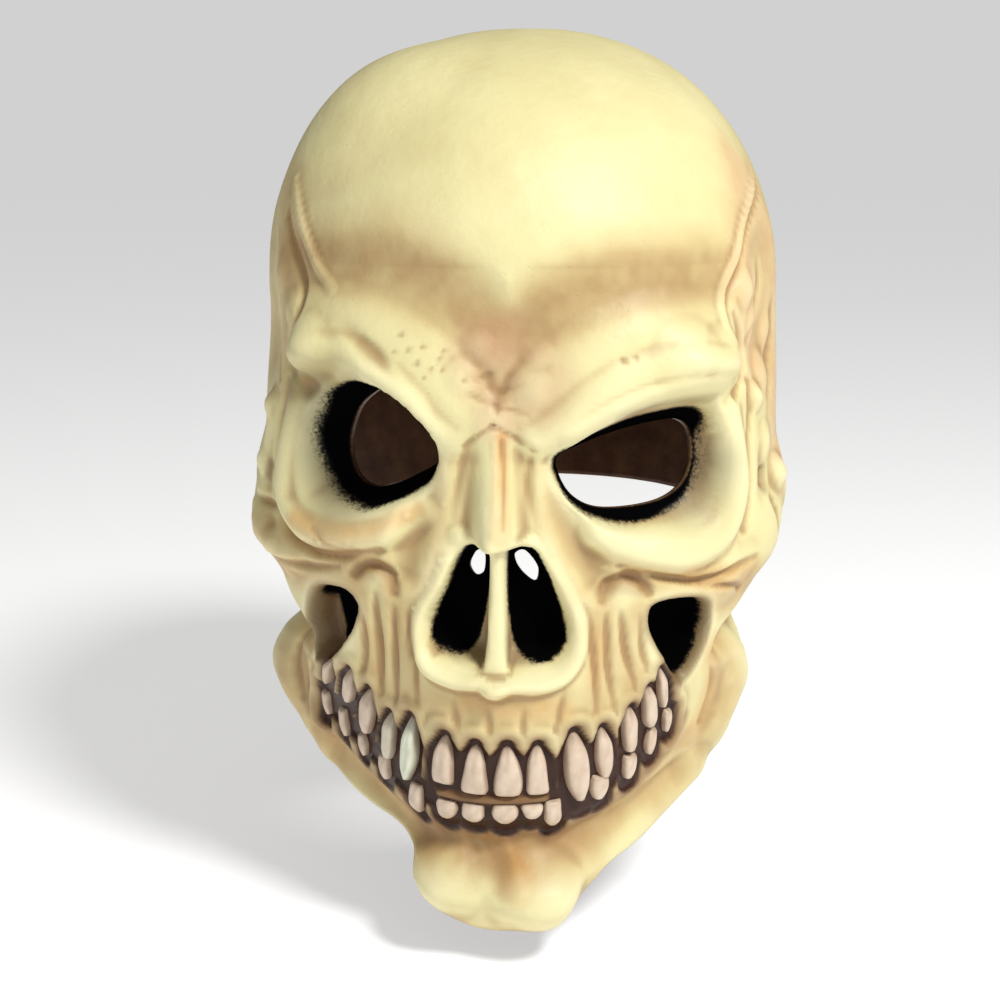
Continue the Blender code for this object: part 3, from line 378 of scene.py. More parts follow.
def gum_field(degrees, height):
    """Positive inside the gums, negative outside, in millimetres."""
    return np.maximum.reduce([
        tooth_gap(degrees, height, UPPER_TEETH, 2.2),
        tooth_gap(degrees, height, LOWER_TEETH, 1.6),
        inside(degrees, height, GUM_BAND) + 1.0,
    ])


def relief(points, degrees, height, fine=True):
    """Level of the mask's face over the head form."""
    level = np.zeros(len(points))
    for rows in SWELLINGS.values():
        for row in rows:
            add_swelling(points, level, *row)
    for rows in RIDGES.values():
        add_near(points, level, rows)
    for edge, floor, sunk in HOLLOWS:
        a = np.clip(inside(degrees, height, edge), 0, None)
        b = np.clip(-inside(degrees, height, floor), 0, None)
        share = ease(1.15 * a / (a + b + 1e-9))
        level = level * (1 - share) + sunk * share
    gum = gum_field(degrees, height)
    level -= GUM_DEPTH * ease(gum / 1.8 + 0.4)
    if not fine:
        return level
    # A rolled lip of bone along the gum, and a thin ridge between the rows.
    level += 1.3 * np.exp(-(((gum + 2.6) / 1.9) ** 2)) * ease((height + 119) / 6)
    add_near(points, level, ((-11.5, -121.4, 2.0, 1.8), (-6, -122.2, 2.0, 1.4), (-2, -121.9, 2.0, 1.9), (3, -122.2, 2.0, 1.4), (9.3, -121.4, 2.0, 1.8)))
    bar = level.copy()
    add_near(points, bar, SEPTUM_RIDGE, top=True)
    level = np.maximum(level, bar)
    for degrees_at, height_at, radius, depth in PITS:
        add_swelling(points, level, degrees_at, height_at, radius, -0.75 * depth)
    for degrees_at, height_at, radius, rise in BLOBS:
        add_swelling(points, level, degrees_at, height_at, radius, rise)
    return level


def add_near(points, level, rows, top=None):
    """add_ridge on the points close enough to be touched. With top, the rows give half widths and levels of a steep bar."""
    table = rounded(rows, 3)
    path = on_form(table[:, 0], table[:, 1])
    reach = table[:, 2].max() * 1.6
    near = np.where(np.all((points > path.min(0) - reach) & (points < path.max(0) + reach), axis=1))[0]
    if not len(near):
        return
    if top is None:
        part = level[near].copy()
        add_ridge(points[near], part, rows)
        level[near] = part
        return
    rows = rounded(rows, 5)
    path = on_form(rows[:, 0], rows[:, 1])
    nearest, half, height = np.full(len(near), 1e9), np.ones(len(near)), np.zeros(len(near))
    for i in range(len(path) - 1):
        step = path[i + 1] - path[i]
        share = np.clip((points[near] - path[i]) @ step / (step @ step), 0, 1)
        gap = np.linalg.norm(points[near] - path[i] - share[:, None] * step, axis=1)
        closer = gap < nearest
        nearest[closer] = gap[closer]
        half[closer] = (rows[i, 2] + share * (rows[i + 1, 2] - rows[i, 2]))[closer]
        height[closer] = (rows[i, 3] + share * (rows[i + 1, 3] - rows[i, 3]))[closer]
    flank = ease((half * 1.35 - nearest) / (half * 0.55))
    round_top = height - 0.8 * (np.clip(nearest / half, 0, 1)) ** 2
    level[near] = level[near] * (1 - flank) + np.maximum(level[near], round_top) * flank


# ==== grids
COLUMNS = 324  # a multiple of 3
ROWS_CROWN = 54
ROWS_FACE = 208
INNER_STEP = 3
SIDE_STEP = 4.0


def column_angles():
    found = [0.0]
    while found[-1] < 180:
        found.append(found[-1] + 0.5 * (1 + (SIDE_STEP - 1) * ease((found[-1] - 50) / 45)))
    half = np.interp(np.linspace(0, len(found) - 1, COLUMNS // 2 + 1), np.arange(len(found)), found)
    half *= 180 / half[-1]
    return np.concatenate([-half[:0:-1], half[:-1]])


def row_sections(degrees):
    rim = np.array(RIM, float)
    at = np.concatenate([rim[-3:-1, 0] - 360, rim[:, 0], rim[1:3, 0] + 360])
    to = np.concatenate([rim[-3:-1, 1], rim[:, 1], rim[1:3, 1]])
    lowest = section_at(spline(at, to, degrees)[:, 0], degrees)
    brow = section_at(np.full(len(degrees), 45.0), degrees)
    crown_share = np.linspace(0, 1, ROWS_CROWN, endpoint=False)[1:, None]
    face_share = np.linspace(0, 1, ROWS_FACE)[:, None]
    return np.concatenate([brow * crown_share, brow + face_share * (lowest - brow)])


def spread_grid(values, size, pick):
    """The lowest, or the mean, of a grid's values within a few cells, wrapping round the head."""
    rows, out = values.shape[0], None
    count = 0
    for i in range(-size, size + 1):
        moved = values[np.clip(np.arange(rows) + i, 0, rows - 1)]
        for j in range(-size, size + 1):
            if i * i + j * j > size * size + 1:
                continue
            shifted = np.roll(moved, j, axis=1)
            count += 1
            out = shifted.copy() if out is None else (np.minimum(out, shifted) if pick == "lowest" else out + shifted)
    return out if pick == "lowest" else out / count


degrees_row = column_angles()
section = row_sections(degrees_row)
degrees = np.broadcast_to(degrees_row, section.shape).copy()
base = form_point(section, degrees)
normal = outward(section, degrees)
flat_base, flat_degrees, flat_height = base.reshape(-1, 3), degrees.ravel(), base[..., 2].ravel()
level = relief(flat_base, flat_degrees, flat_height).reshape(section.shape)
plain = relief(flat_base, flat_degrees, flat_height, fine=False).reshape(section.shape)
outer = base + normal * level[..., None]
lowest = spread_grid(np.minimum(level, plain), 3, "lowest")
inner_level = spread_grid(lowest, 2, "mean") - WALL
inner_level = np.minimum(inner_level, lowest - WALL * 0.85)
picked_rows = np.arange(INNER_STEP - 1, section.shape[0], INNER_STEP)
if picked_rows[-1] != section.shape[0] - 1:
    picked_rows = np.append(picked_rows, section.shape[0] - 1)
inner = (base + normal * inner_level[..., None])[picked_rows][:, ::INNER_STEP]


def moved(points):
    return (points - np.array([0.0, 0.0, TOP_OF_HOLLOW])) * MM


def mesh_object(name, points, faces):
    mesh = bpy.data.meshes.new(name)
    mesh.from_pydata(points.tolist(), [], faces)
    mesh.validate()
    mesh.shade_smooth()
    made = bpy.data.objects.new(name, mesh)
    bpy.context.scene.collection.objects.link(made)
    return made


def shell_object():
    rows, columns = outer.shape[:2]
    inner_rows, inner_columns = inner.shape[:2]
    top_out = np.array([[0.0, 0.0, outer[0, :, 2].mean() + 0.02]])
    top_in = np.array([[0.0, 0.0, inner[0, :, 2].mean() + 0.1]])
    points = np.concatenate([outer.reshape(-1, 3), top_out, inner.reshape(-1, 3), top_in])
    first_in = rows * columns + 1
    tip_out, tip_in = rows * columns, len(points) - 1
    faces = []
    turned = np.roll(outer, -1, axis=1)
    down = np.linalg.norm(outer[:-1] - turned[1:], axis=-1) < np.linalg.norm(outer[1:] - turned[:-1], axis=-1)
    for i in range(rows - 1):
        for j in range(columns):
            k = (j + 1) % columns
            a, b, c, e = i * columns + j, (i + 1) * columns + j, (i + 1) * columns + k, i * columns + k
            faces.extend([(a, b, c), (a, c, e)] if down[i, j] else [(a, b, e), (b, c, e)])
    for j in range(columns):
        faces.append((tip_out, j, (j + 1) % columns))
    for i in range(inner_rows - 1):
        for j in range(inner_columns):
            k = (j + 1) % inner_columns
            a, b = first_in + i * inner_columns, first_in + (i + 1) * inner_columns
            faces.append((a + j, a + k, b + k, b + j))
    for j in range(inner_columns):
        faces.append((tip_in, first_in + (j + 1) % inner_columns, first_in + j))
    out_row, in_row = (rows - 1) * columns, first_in + (inner_rows - 1) * inner_columns
    for j in range(inner_columns):
        k = (j + 1) % inner_columns
        for step in range(INNER_STEP):
            a = out_row + j * INNER_STEP + step
            b = out_row + (j * INNER_STEP + step + 1) % columns
            faces.append((a, in_row + j, b) if step < INNER_STEP - 1 else (a, in_row + j, in_row + k, b))
    return mesh_object("mask", moved(points), faces), first_in


def prism(name, outline, inside_by, outside_by):
    ring = rounded(outline, 6, closed=True)
    rings = [moved(raised(ring[:, 0], ring[:, 1], np.full(len(ring), at))) for at in np.linspace(-inside_by, outside_by, 8)]
    points = np.concatenate(rings)
    n, faces = len(ring), []
    for i in range(len(rings) - 1):
        for j in range(n):
            k = (j + 1) % n
            faces.append((i * n + j, i * n + k, (i + 1) * n + k, (i + 1) * n + j))
    faces.append(tuple(range(n))[::-1])
    faces.append(tuple((len(rings) - 1) * n + j for j in range(n)))
    made = mesh_object(name, points, faces)
    bm = bmesh.new()
    bm.from_mesh(made.data)
    bmesh.ops.recalc_face_normals(bm, faces=bm.faces)
    if bm.calc_volume(signed=True) < 0:
        bmesh.ops.reverse_faces(bm, faces=bm.faces)
    bm.to_mesh(made.data)
    bm.free()
    return made


def cut(obj, cutters):
    for cutter in cutters:
        step = obj.modifiers.new(cutter.name, "BOOLEAN")
        step.operation, step.object, step.solver = "DIFFERENCE", cutter, "MANIFOLD"
    graph = bpy.context.evaluated_depsgraph_get()
    mesh = bpy.data.meshes.new_from_object(obj.evaluated_get(graph))
    obj.modifiers.clear()
    obj.data = mesh
    for cutter in cutters:
        bpy.data.objects.remove(cutter)


# ==== paint: colours as they look, mixed layer by layer like an airbrush; some layers are painted shade in hollows, creases and under the brows, and one is a painted highlight on raised parts
BONE = (0.885, 0.850, 0.640)
TAN = (0.74, 0.60, 0.40)
BROWN = (0.50, 0.36, 0.23)
PINK_TAN = (0.86, 0.70, 0.53)
PINK_BROWN = (0.78, 0.60, 0.49)
ORANGE = (0.80, 0.56, 0.31)
OLIVE = (0.66, 0.60, 0.38)
UMBER = (0.36, 0.26, 0.15)
BLACK = (0.020, 0.020, 0.024)
GUM_DARK = (0.215, 0.130, 0.100)
GUM_RIDGE = (0.55, 0.43, 0.30)
RAW_LATEX = (0.50, 0.36, 0.24)

# Sprayed lines of paint and of painted shade: colour, strength, then degrees, height and radius along the line.
SPRAYED_PAINT_AND_SHADE = (
    # painted shade: tan and brown band along the groove above the brows
    (TAN, 0.50, ((-50, 46, 11), (-34, 46, 12), (-18, 46, 14), (-8, 37, 12), (2, 26, 9), (11, 34, 12), (22, 42, 14), (38, 43, 12), (46, 42, 9))),
    (BROWN, 0.26, ((-46, 46, 7), (-34, 45, 8), (-18, 45, 9), (-8, 36, 8), (2, 25, 6), (11, 33, 8), (22, 40, 8), (40, 41, 7))),
    (PINK_BROWN, 0.45, ((-3, 20, 9), (0, 10, 9), (1, 0, 7))),
    (PINK_BROWN, 0.35, ((2, 24, 8), (9, 14, 8), (8, 4, 7))),
    # painted shade: brown down the frown creases
    (BROWN, 0.14, ((-5, 28, 4), (-1.5, 16, 4.4), (0.4, 6, 3.5))),
    (BROWN, 0.12, ((8, 28, 4), (4, 18, 4.4), (1.5, 9, 3.5))),
    (PINK_TAN, 0.60, ((58, 72, 12), (54, 52, 12), (54, 30, 12), (58, 10, 11))),
    (PINK_TAN, 0.55, ((70, 60, 16), (72, 30, 18), (72, 0, 16), (70, -20, 12))),
    (TAN, 0.30, ((90, 60, 30), (92, 20, 34), (90, -20, 26))),
    (TAN, 0.45, ((-52, 62, 12), (-48, 44, 11), (-46, 26, 10), (-52, 8, 10))),
    (TAN, 0.35, ((-75, 60, 26), (-76, 20, 28), (-76, -20, 22))),
    (TAN, 0.18, ((135, 90, 60), (135, 20, 70), (135, -40, 50))),
    (TAN, 0.18, ((-135, 90, 60), (-135, 20, 70), (-135, -40, 50))),
    (ORANGE, 0.60, ((1.2, -5, 1.6), (1.2, -20, 2.4), (1.2, -35, 2.8))),
    (TAN, 0.45, ((-9, -14, 4), (-10, -26, 4.5), (-12, -40, 5), (-14, -52, 5))),
    (TAN, 0.35, ((8, -16, 3.5), (9, -28, 4), (12, -42, 4.5), (15, -54, 4.5))),
    (ORANGE, 0.62, ((-40, -37, 3.5), (-33, -39, 4), (-24, -37, 3.5), (-14, -29, 2.5))),
    # painted shade: brown in the fold under the left eye
    (BROWN, 0.55, ((-37, -44.5, 2.0), (-31, -44.5, 2.4), (-26, -43, 2.0))),
    (TAN, 0.50, ((-56, -42, 5), (-44, -46, 5), (-33, -48, 5), (-22, -46, 5))),
    (TAN, 0.60, ((-60, -54, 8), (-48, -57, 7), (-36, -56, 6), (-27, -54, 5))),
    (ORANGE, 0.50, ((36, -51, 3.5), (45, -54.5, 4.5), (54, -55, 5))),
    (TAN, 0.45, ((18, -44, 4), (28, -50, 4.5), (40, -55, 5), (50, -57, 5))),
    (TAN, 0.55, ((62, -60, 8), (50, -64, 6), (36, -60, 5))),
    # painted shade: brown in the notches under the eyes
    (BROWN, 0.45, ((-26, -51, 3), (-22, -49.5, 3.4), (-19, -54, 3))),
    (BROWN, 0.50, ((19.5, -54, 3), (23, -51.2, 3.4), (27, -54, 3))),
    # painted shade under the left brow: umber and olive on its underside, brown in the crease above it
    (UMBER, 0.52, ((-42, 4, 4), (-37, 7.5, 5), (-30, 10.0, 4.5), (-24, 10.5, 3))),
    (BROWN, 0.20, ((-22.5, 21.5, 2.4), (-20.4, 18.4, 2.8), (-18.8, 16.0, 2.2))),
    (OLIVE, 0.70, ((-44, 6, 8), (-34, 12, 7), (-26, 12, 6))),
    (OLIVE, 0.30, ((-46, -8, 5), (-47, -22, 5))),
    # painted shade: umber under the right brow edge
    (UMBER, 0.35, ((21, 0.5, 1.6), (30, 3.8, 1.8), (40, 3.6, 1.8))),
    # painted shade: tan down the grooved sides of the upper jaw, beside the roots
    (TAN, 0.55, ((-28, -60, 6), (-25, -76, 7), (-26, -90, 6))),
    (TAN, 0.50, ((-19, -58, 6), (-18, -74, 7), (-18, -92, 7))),
    (TAN, 0.55, ((27, -62, 5), (25, -76, 7), (26, -90, 6))),
    (TAN, 0.50, ((19, -60, 5), (19, -76, 6), (19, -92, 6))),
    (TAN, 0.45, ((-12, -90, 7), (0, -92, 8), (12, -90, 7))),
    (ORANGE, 0.30, ((-4, -88, 4), (6, -89, 5), (12, -92, 4))),
    (ORANGE, 0.28, ((-26, -70, 3), (-24, -84, 3))),
    (ORANGE, 0.25, ((19, -70, 3), (18, -84, 3))),
    # painted shade: tan and brown in the hollow under the teeth
    (TAN, 0.70, ((-50, -114, 7), (-40, -124, 8), (-26, -133, 9), (-12, -139, 9), (4, -140, 9), (18, -137, 9), (32, -128, 8), (44, -114, 7))),
    (BROWN, 0.50, ((-46, -113, 3.5), (-36, -121, 4), (-22, -129, 4.5), (-6, -133, 4.5), (10, -134, 5), (22, -128, 4.5), (34, -117, 4), (42, -104, 3.5))),
    (ORANGE, 0.35, ((-2, -136, 4), (4, -144, 5), (3, -150, 4))),
    # painted shade: brown in the chin cleft
    (BROWN, 0.30, ((-6, -141, 4), (0, -144, 4), (1.5, -149, 3.5))),
    (TAN, 0.50, ((-52, -84, 6), (-54, -100, 8), (-50, -114, 7))),
    (TAN, 0.55, ((-60, -76, 7), (-64, -92, 8), (-60, -110, 8), (-48, -128, 7))),
    (BROWN, 0.32, ((-56, -86, 3), (-58, -98, 3.5), (-55, -110, 3))),
    (BROWN, 0.28, ((-64, -88, 3), (-66, -100, 3.5))),
    (ORANGE, 0.40, ((48, -80, 5), (52, -94, 6), (50, -108, 6))),
    (TAN, 0.50, ((56, -76, 8), (60, -94, 9), (54, -114, 8), (40, -132, 7))),
    (BROWN, 0.25, ((52, -84, 3), (55, -98, 3.5), (52, -110, 3))),
    (TAN, 0.30, ((-20, -146, 6), (-14, -162, 5))),
    (TAN, 0.30, ((20, -150, 6), (14, -164, 5))),
    (UMBER, 0.40, ((58.4, -24, 3.2), (58.4, -28, 3.2))),
    (BLACK, 0.85, ((58.4, -24.8, 2.0), (58.4, -27.0, 2.0))),
    (UMBER, 0.50, ((-52.5, -23, 2.0), (-53.5, -27, 2.0))),
)
# Black areas: outline, softness of its edge in millimetres.
BLACK_EYE_LEFT = ((-25.6, 9.8), (-33.0, 5), (-37.4, -6), (-37.2, -18), (-33.6, -27.5), (-25.5, -30.8), (-19, -27.6), (-14.0, -23), (-11.0, -18), (-10.4, -7), (-14.4, 3), (-19.4, 9))
BLACK_NOSE_LEFT = ((-3.5, -36.5), (-6.6, -42.5), (-9.2, -53), (-11.6, -61), (-12.6, -68), (-11.4, -73), (-7.8, -75.4), (-5.2, -73.4), (-3.4, -66.6), (-2.0, -56), (-1.0, -41))
BLACK_NOSE_RIGHT = ((2.1, -37), (5.4, -36.5), (8.4, -44), (10.8, -54), (12.6, -62.6), (13.0, -70), (11, -75.3), (8.1, -76.8), (4.9, -75.4), (3.2, -71.5), (2.2, -62.6), (1.9, -50))
BLACK_EYE_RIGHT = ((9.9, -11.5), (14.6, -7.2), (19.6, -4.2), (24.5, -1.5), (31, 0.6), (38, 1.3), (42.0, -2.4), (42.8, -12), (41.9, -21.5), (38.6, -29), (33, -33), (26.5, -34.2), (20.5, -32.8), (15.2, -29), (11.6, -22.5))


def linear(colour):
    c = np.asarray(colour, float)
    return np.where(c <= 0.04045, c / 12.92, ((c + 0.055) / 1.055) ** 2.4)


def value_noise(points, size, seed):
    """Smooth repeatable noise from -1 to 1 at points in millimetres."""
    p = points / size + seed * 17.31
    cell, part = np.floor(p).astype(np.int64), p - np.floor(p)
    part = part * part * (3 - 2 * part)
    total = np.zeros(len(points))
    for i in (0, 1):
        for j in (0, 1):
            for k in (0, 1):
                c = cell + (i, j, k)
                h = (c[:, 0] * 73856093) ^ (c[:, 1] * 19349663) ^ (c[:, 2] * 83492791)
                h = (h * 2654435761) & 0xFFFFFFFF
                h = ((h ^ (h >> 15)) * 2246822519) & 0xFFFFFFFF
                value = ((h ^ (h >> 13)) & 0xFFFF) / 32767.5 - 1
                w = (part[:, 0] if i else 1 - part[:, 0]) * (part[:, 1] if j else 1 - part[:, 1]) * (part[:, 2] if k else 1 - part[:, 2])
                total += value * w
    return total


def line_share(points, rows):
    """1 on a line, fading to 0 at its radius."""
    table = rounded(rows, 4)
    path = on_form(table[:, 0], table[:, 1])
    reach = table[:, 2].max() * 1.5
    near = np.where(np.all((points > path.min(0) - reach) & (points < path.max(0) + reach), axis=1))[0]
    share = np.zeros(len(points))
    best = np.zeros(len(near))
    for i in range(len(path) - 1):
        step = path[i + 1] - path[i]
        along = np.clip((points[near] - path[i]) @ step / (step @ step + 1e-9), 0, 1)
        gap = np.linalg.norm(points[near] - path[i] - along[:, None] * step, axis=1)
        radius = 1.45 * (table[i, 2] + along * (table[i + 1, 2] - table[i, 2]))
        best = np.maximum(best, np.clip(1 - (gap / radius) ** 2, 0, 1) ** 1.5)
    share[near] = best
    return share


def painted():
    """Colour and gloss for every point of the outer grid."""
    points = flat_base
    d, z, h = flat_degrees, flat_height, level.ravel()
    near_mean = spread_grid(level, 2, "mean").ravel()
    wide_mean = spread_grid(spread_grid(level, 5, "mean"), 4, "mean").ravel()
    colour = np.tile(np.array(BONE), (len(points), 1))
    gloss = np.zeros(len(points))
    mottled = value_noise(points, 22, 1) * 0.6 + value_noise(points, 9, 2) * 0.4
    spray_noise = 1 + 0.25 * value_noise(points, 6, 3) + 0.18 * value_noise(points, 2.6, 4)

    def spray_paint_and_painted_light(to, share):
        share = np.clip(share, 0, 1)[:, None]
        colour[:] = colour * (1 - share) + np.array(to) * share

    spray_paint_and_painted_light(OLIVE, np.clip(mottled, 0, 1) * 0.10)
    spray_paint_and_painted_light(PINK_TAN, np.clip(-mottled, 0, 1) * 0.14)
    for to, strength, rows in SPRAYED_PAINT_AND_SHADE:
        if to is BLACK:
            continue
        spray_paint_and_painted_light(to, strength * line_share(points, rows) * spray_noise)
    face = ease((100 - np.abs(d)) / 20) * ease((85 - z) / 30)
    # painted shade: tan in broad hollows and brown in fine creases, stronger the deeper a point lies below its
    # surroundings
    spray_paint_and_painted_light(TAN, face * np.clip((wide_mean - h) / 1.8, 0, 1) * 0.55)
    spray_paint_and_painted_light(BROWN, face * np.clip((near_mean - h) / 0.35, 0, 1) * 0.42)
    # painted highlight: pale cream on parts raised above their surroundings
    spray_paint_and_painted_light((0.98, 0.96, 0.80), face * np.clip((h - wide_mean) / 1.6, 0, 1) * 0.45)

    gum = gum_field(d, z)
    spray_paint_and_painted_light(BROWN, ease((gum + 5.5) / 5.5) * 0.60 * spray_noise)
    wet = ease((gum + 0.9) / 1.2)
    spray_paint_and_painted_light(GUM_DARK, wet * 0.97)
    gloss = np.maximum(gloss, wet)
    ridge = line_share(points, ((-11.5, -121.2, 1.3), (-2, -121.7, 1.3), (9.3, -121.2, 1.3)))
    spray_paint_and_painted_light(GUM_RIDGE, ridge)

    soot = np.zeros(len(points))
    for outline, soft_side, soft_more in ((BLACK_EYE_LEFT, -34, 3.4), (BLACK_EYE_RIGHT, 42, 2.6)):
        deep = inside(d, z, outline)
        lower_outer = ease(1 - np.abs(d - soft_side) / 15) * ease((-2 - z) / 16)
        if soft_side < 0:
            lower_outer = np.maximum(lower_outer, 0.75 * ease(1 - np.abs(d + 36) / 8))
        soft = 1.3 + soft_more * lower_outer
        spray_paint_and_painted_light((0.42, 0.40, 0.34), ease((deep + 3.2 * soft) / (4.0 * soft)) * (0.10 + 0.45 * lower_outer))
        soot = np.maximum(soot, ease((deep + soft) / (2 * soft)))
    # painted shade: grey-brown in the deep lower part of the nose hollow
    spray_paint_and_painted_light((0.52, 0.48, 0.38), ease((inside(d, z, NOSE) - 0.1) / 1.4) * ease((-1.0 - h) / 3) * ease((-60 - z) / 12) * 0.40)
    for outline in (BLACK_NOSE_LEFT, BLACK_NOSE_RIGHT):
        soft = 0.8 + 1.2 * ease((-66 - z) / 8)
        soot = np.maximum(soot, ease((inside(d, z, outline) + soft) / (2 * soft)) * ease((-0.3 - h) / 2.0))
    for outline, rear in ((JAW_GAP_LEFT, -41.5), (JAW_GAP_RIGHT, 45.0)):
        deep = inside(d, z, outline)
        # painted shade: umber over the jaw gaps and their walls
        spray_paint_and_painted_light(UMBER, ease((deep + 2.0) / 4.0) * 0.75)
        front = ease((3.5 - (np.abs(d) - abs(rear)) * CHART) / 7.0) * ease((z + 88) / 8 if rear < 0 else (z + 94) / 8)
        soot = np.maximum(soot, ease((deep + 0.2) / 2.4) * ease((-1.0 - h) / 4.0) * front)
    for to, strength, rows in SPRAYED_PAINT_AND_SHADE:
        if to is BLACK:
            soot = np.maximum(soot, strength * line_share(points, rows))
    gloss = np.maximum(gloss, soot * 0.6)
    # painted shade: brown in each small pit
    for degrees_at, height_at, radius, depth in PITS:
        gap = np.linalg.norm(points - on_form(degrees_at, height_at), axis=1)
        spray_paint_and_painted_light(BROWN, np.exp(-((gap / (0.7 * radius)) ** 2)) * 0.14)
    return colour, gloss, soot


def give_paint(obj, places, colours, glosses, soots, insides):
    tree = kdtree.KDTree(len(places))
    for i, p in enumerate(places):
        tree.insert(p, i)
    tree.balance()
    mesh = obj.data
    found = np.array([tree.find(v.co)[1] for v in mesh.vertices])
    paint = mesh.attributes.new("paint", "FLOAT_COLOR", "POINT")
    values = np.ones((len(found), 4))
    values[:, :3] = linear(colours)[found]
    paint.data.foreach_set("color", values.ravel().astype(np.float32))
    for name, of in (("gloss", glosses), ("soot", soots), ("inside", insides)):
        attribute = mesh.attributes.new(name, "FLOAT", "POINT")
        attribute.data.foreach_set("value", of[found].astype(np.float32))


def latex_material():
    material = bpy.data.materials.new("painted_latex")
    material.use_nodes = True
    nodes, links = material.node_tree.nodes, material.node_tree.links
    shader = nodes["Principled BSDF"]
    place = nodes.new("ShaderNodeTexCoord")

    def noise(scale, detail, rough=0.55):
        made = nodes.new("ShaderNodeTexNoise")
        made.inputs["Scale"].default_value = scale
        made.inputs["Detail"].default_value = detail
        made.inputs["Roughness"].default_value = rough
        links.new(place.outputs["Object"], made.inputs["Vector"])
        return made

    def attribute(name):
        made = nodes.new("ShaderNodeAttribute")
        made.attribute_name = name
        return made

    def math_node(kind, a, b, clamp=False):
        made = nodes.new("ShaderNodeMath")
        made.operation, made.use_clamp = kind, clamp
        for socket, value in zip(made.inputs, (a, b)):
            if isinstance(value, (int, float)):
                socket.default_value = value
            elif value is not None:
                links.new(value, socket)
        return made.outputs[0]

    def mix(kind, share, a, b):
        made = nodes.new("ShaderNodeMix")
        made.data_type, made.blend_type = "RGBA", kind
        for socket, value in ((made.inputs[0], share), (made.inputs[6], a), (made.inputs[7], b)):
            if isinstance(value, (int, float)):
                socket.default_value = value
            elif isinstance(value, tuple):
                socket.default_value = value + (1.0,)
            else:
                links.new(value, socket)
        return made.outputs[2]

    paint, gloss, soot, within = attribute("paint"), attribute("gloss"), attribute("soot"), attribute("inside")
    cloud = noise(38, 5)
    cloud_ramp = nodes.new("ShaderNodeValToRGB")
    cloud_ramp.color_ramp.elements[0].position, cloud_ramp.color_ramp.elements[1].position = 0.30, 0.72
    cloud_ramp.color_ramp.elements[0].color = (0.90, 0.875, 0.82, 1)
    cloud_ramp.color_ramp.elements[1].color = (1.0, 1.0, 1.0, 1)
    links.new(cloud.outputs["Fac"], cloud_ramp.inputs["Fac"])
    colour = mix("MULTIPLY", 1.0, paint.outputs["Color"], cloud_ramp.outputs["Color"])
    # airbrush spatter: fine brown specks
    speck = noise(1500, 2, 0.6)
    speck_ramp = nodes.new("ShaderNodeValToRGB")
    speck_ramp.color_ramp.elements[0].position, speck_ramp.color_ramp.elements[1].position = 0.66, 0.76
    links.new(speck.outputs["Fac"], speck_ramp.inputs["Fac"])
    patches = noise(60, 3)
    patch_ramp = nodes.new("ShaderNodeValToRGB")
    patch_ramp.color_ramp.elements[0].position, patch_ramp.color_ramp.elements[1].position = 0.48, 0.68
    links.new(patches.outputs["Fac"], patch_ramp.inputs["Fac"])
    specks = math_node("MULTIPLY", speck_ramp.outputs["Color"], patch_ramp.outputs["Color"])
    specks = math_node("MULTIPLY", specks, 0.45)
    colour = mix("MIX", specks, colour, tuple(linear((0.52, 0.38, 0.24))))
    # black sprayed into the sockets, breaking up into fine drops at its edge
    drops, drifts = noise(900, 3, 0.7), noise(160, 3)
    edge = math_node("ADD", math_node("MULTIPLY", math_node("SUBTRACT", drops.outputs["Fac"], 0.5), 0.9), math_node("MULTIPLY", math_node("SUBTRACT", drifts.outputs["Fac"], 0.5), 0.35))
    weight = math_node("MULTIPLY", math_node("MULTIPLY", soot.outputs["Fac"], math_node("SUBTRACT", 1.0, soot.outputs["Fac"])), 4.0)
    sooted = math_node("ADD", soot.outputs["Fac"], math_node("MULTIPLY", edge, weight))
    soot_range = nodes.new("ShaderNodeMapRange")
    soot_range.interpolation_type = "SMOOTHSTEP"
    soot_range.inputs["From Min"].default_value, soot_range.inputs["From Max"].default_value = 0.22, 0.72
    links.new(sooted, soot_range.inputs["Value"])
    colour = mix("MIX", soot_range.outputs["Result"], colour, tuple(linear(BLACK)))
    # raw latex inside
    raw = noise(90, 6)
    raw_ramp = nodes.new("ShaderNodeValToRGB")
    raw_ramp.color_ramp.elements[0].position, raw_ramp.color_ramp.elements[1].position = 0.35, 0.7
    raw_ramp.color_ramp.elements[0].color = tuple(linear((0.30, 0.19, 0.13))) + (1,)
    raw_ramp.color_ramp.elements[1].color = tuple(linear((0.42, 0.29, 0.19))) + (1,)
    links.new(raw.outputs["Fac"], raw_ramp.inputs["Fac"])
    colour = mix("MIX", within.outputs["Fac"], colour, raw_ramp.outputs["Color"])
    links.new(colour, shader.inputs["Base Color"])

    sheen_noise = noise(120, 4)
    rough = math_node("MULTIPLY_ADD", sheen_noise.outputs["Fac"], 0.16)
    rough.node.inputs[2].default_value = 0.40
    rough = math_node("MULTIPLY_ADD", gloss.outputs["Fac"], -0.20)
    rough.node.inputs[2].default_value = 0.0
    total = math_node("MULTIPLY_ADD", sheen_noise.outputs["Fac"], 0.16)
    total.node.inputs[2].default_value = 0.42
    rough = math_node("ADD", total, rough, clamp=True)
    links.new(rough, shader.inputs["Roughness"])

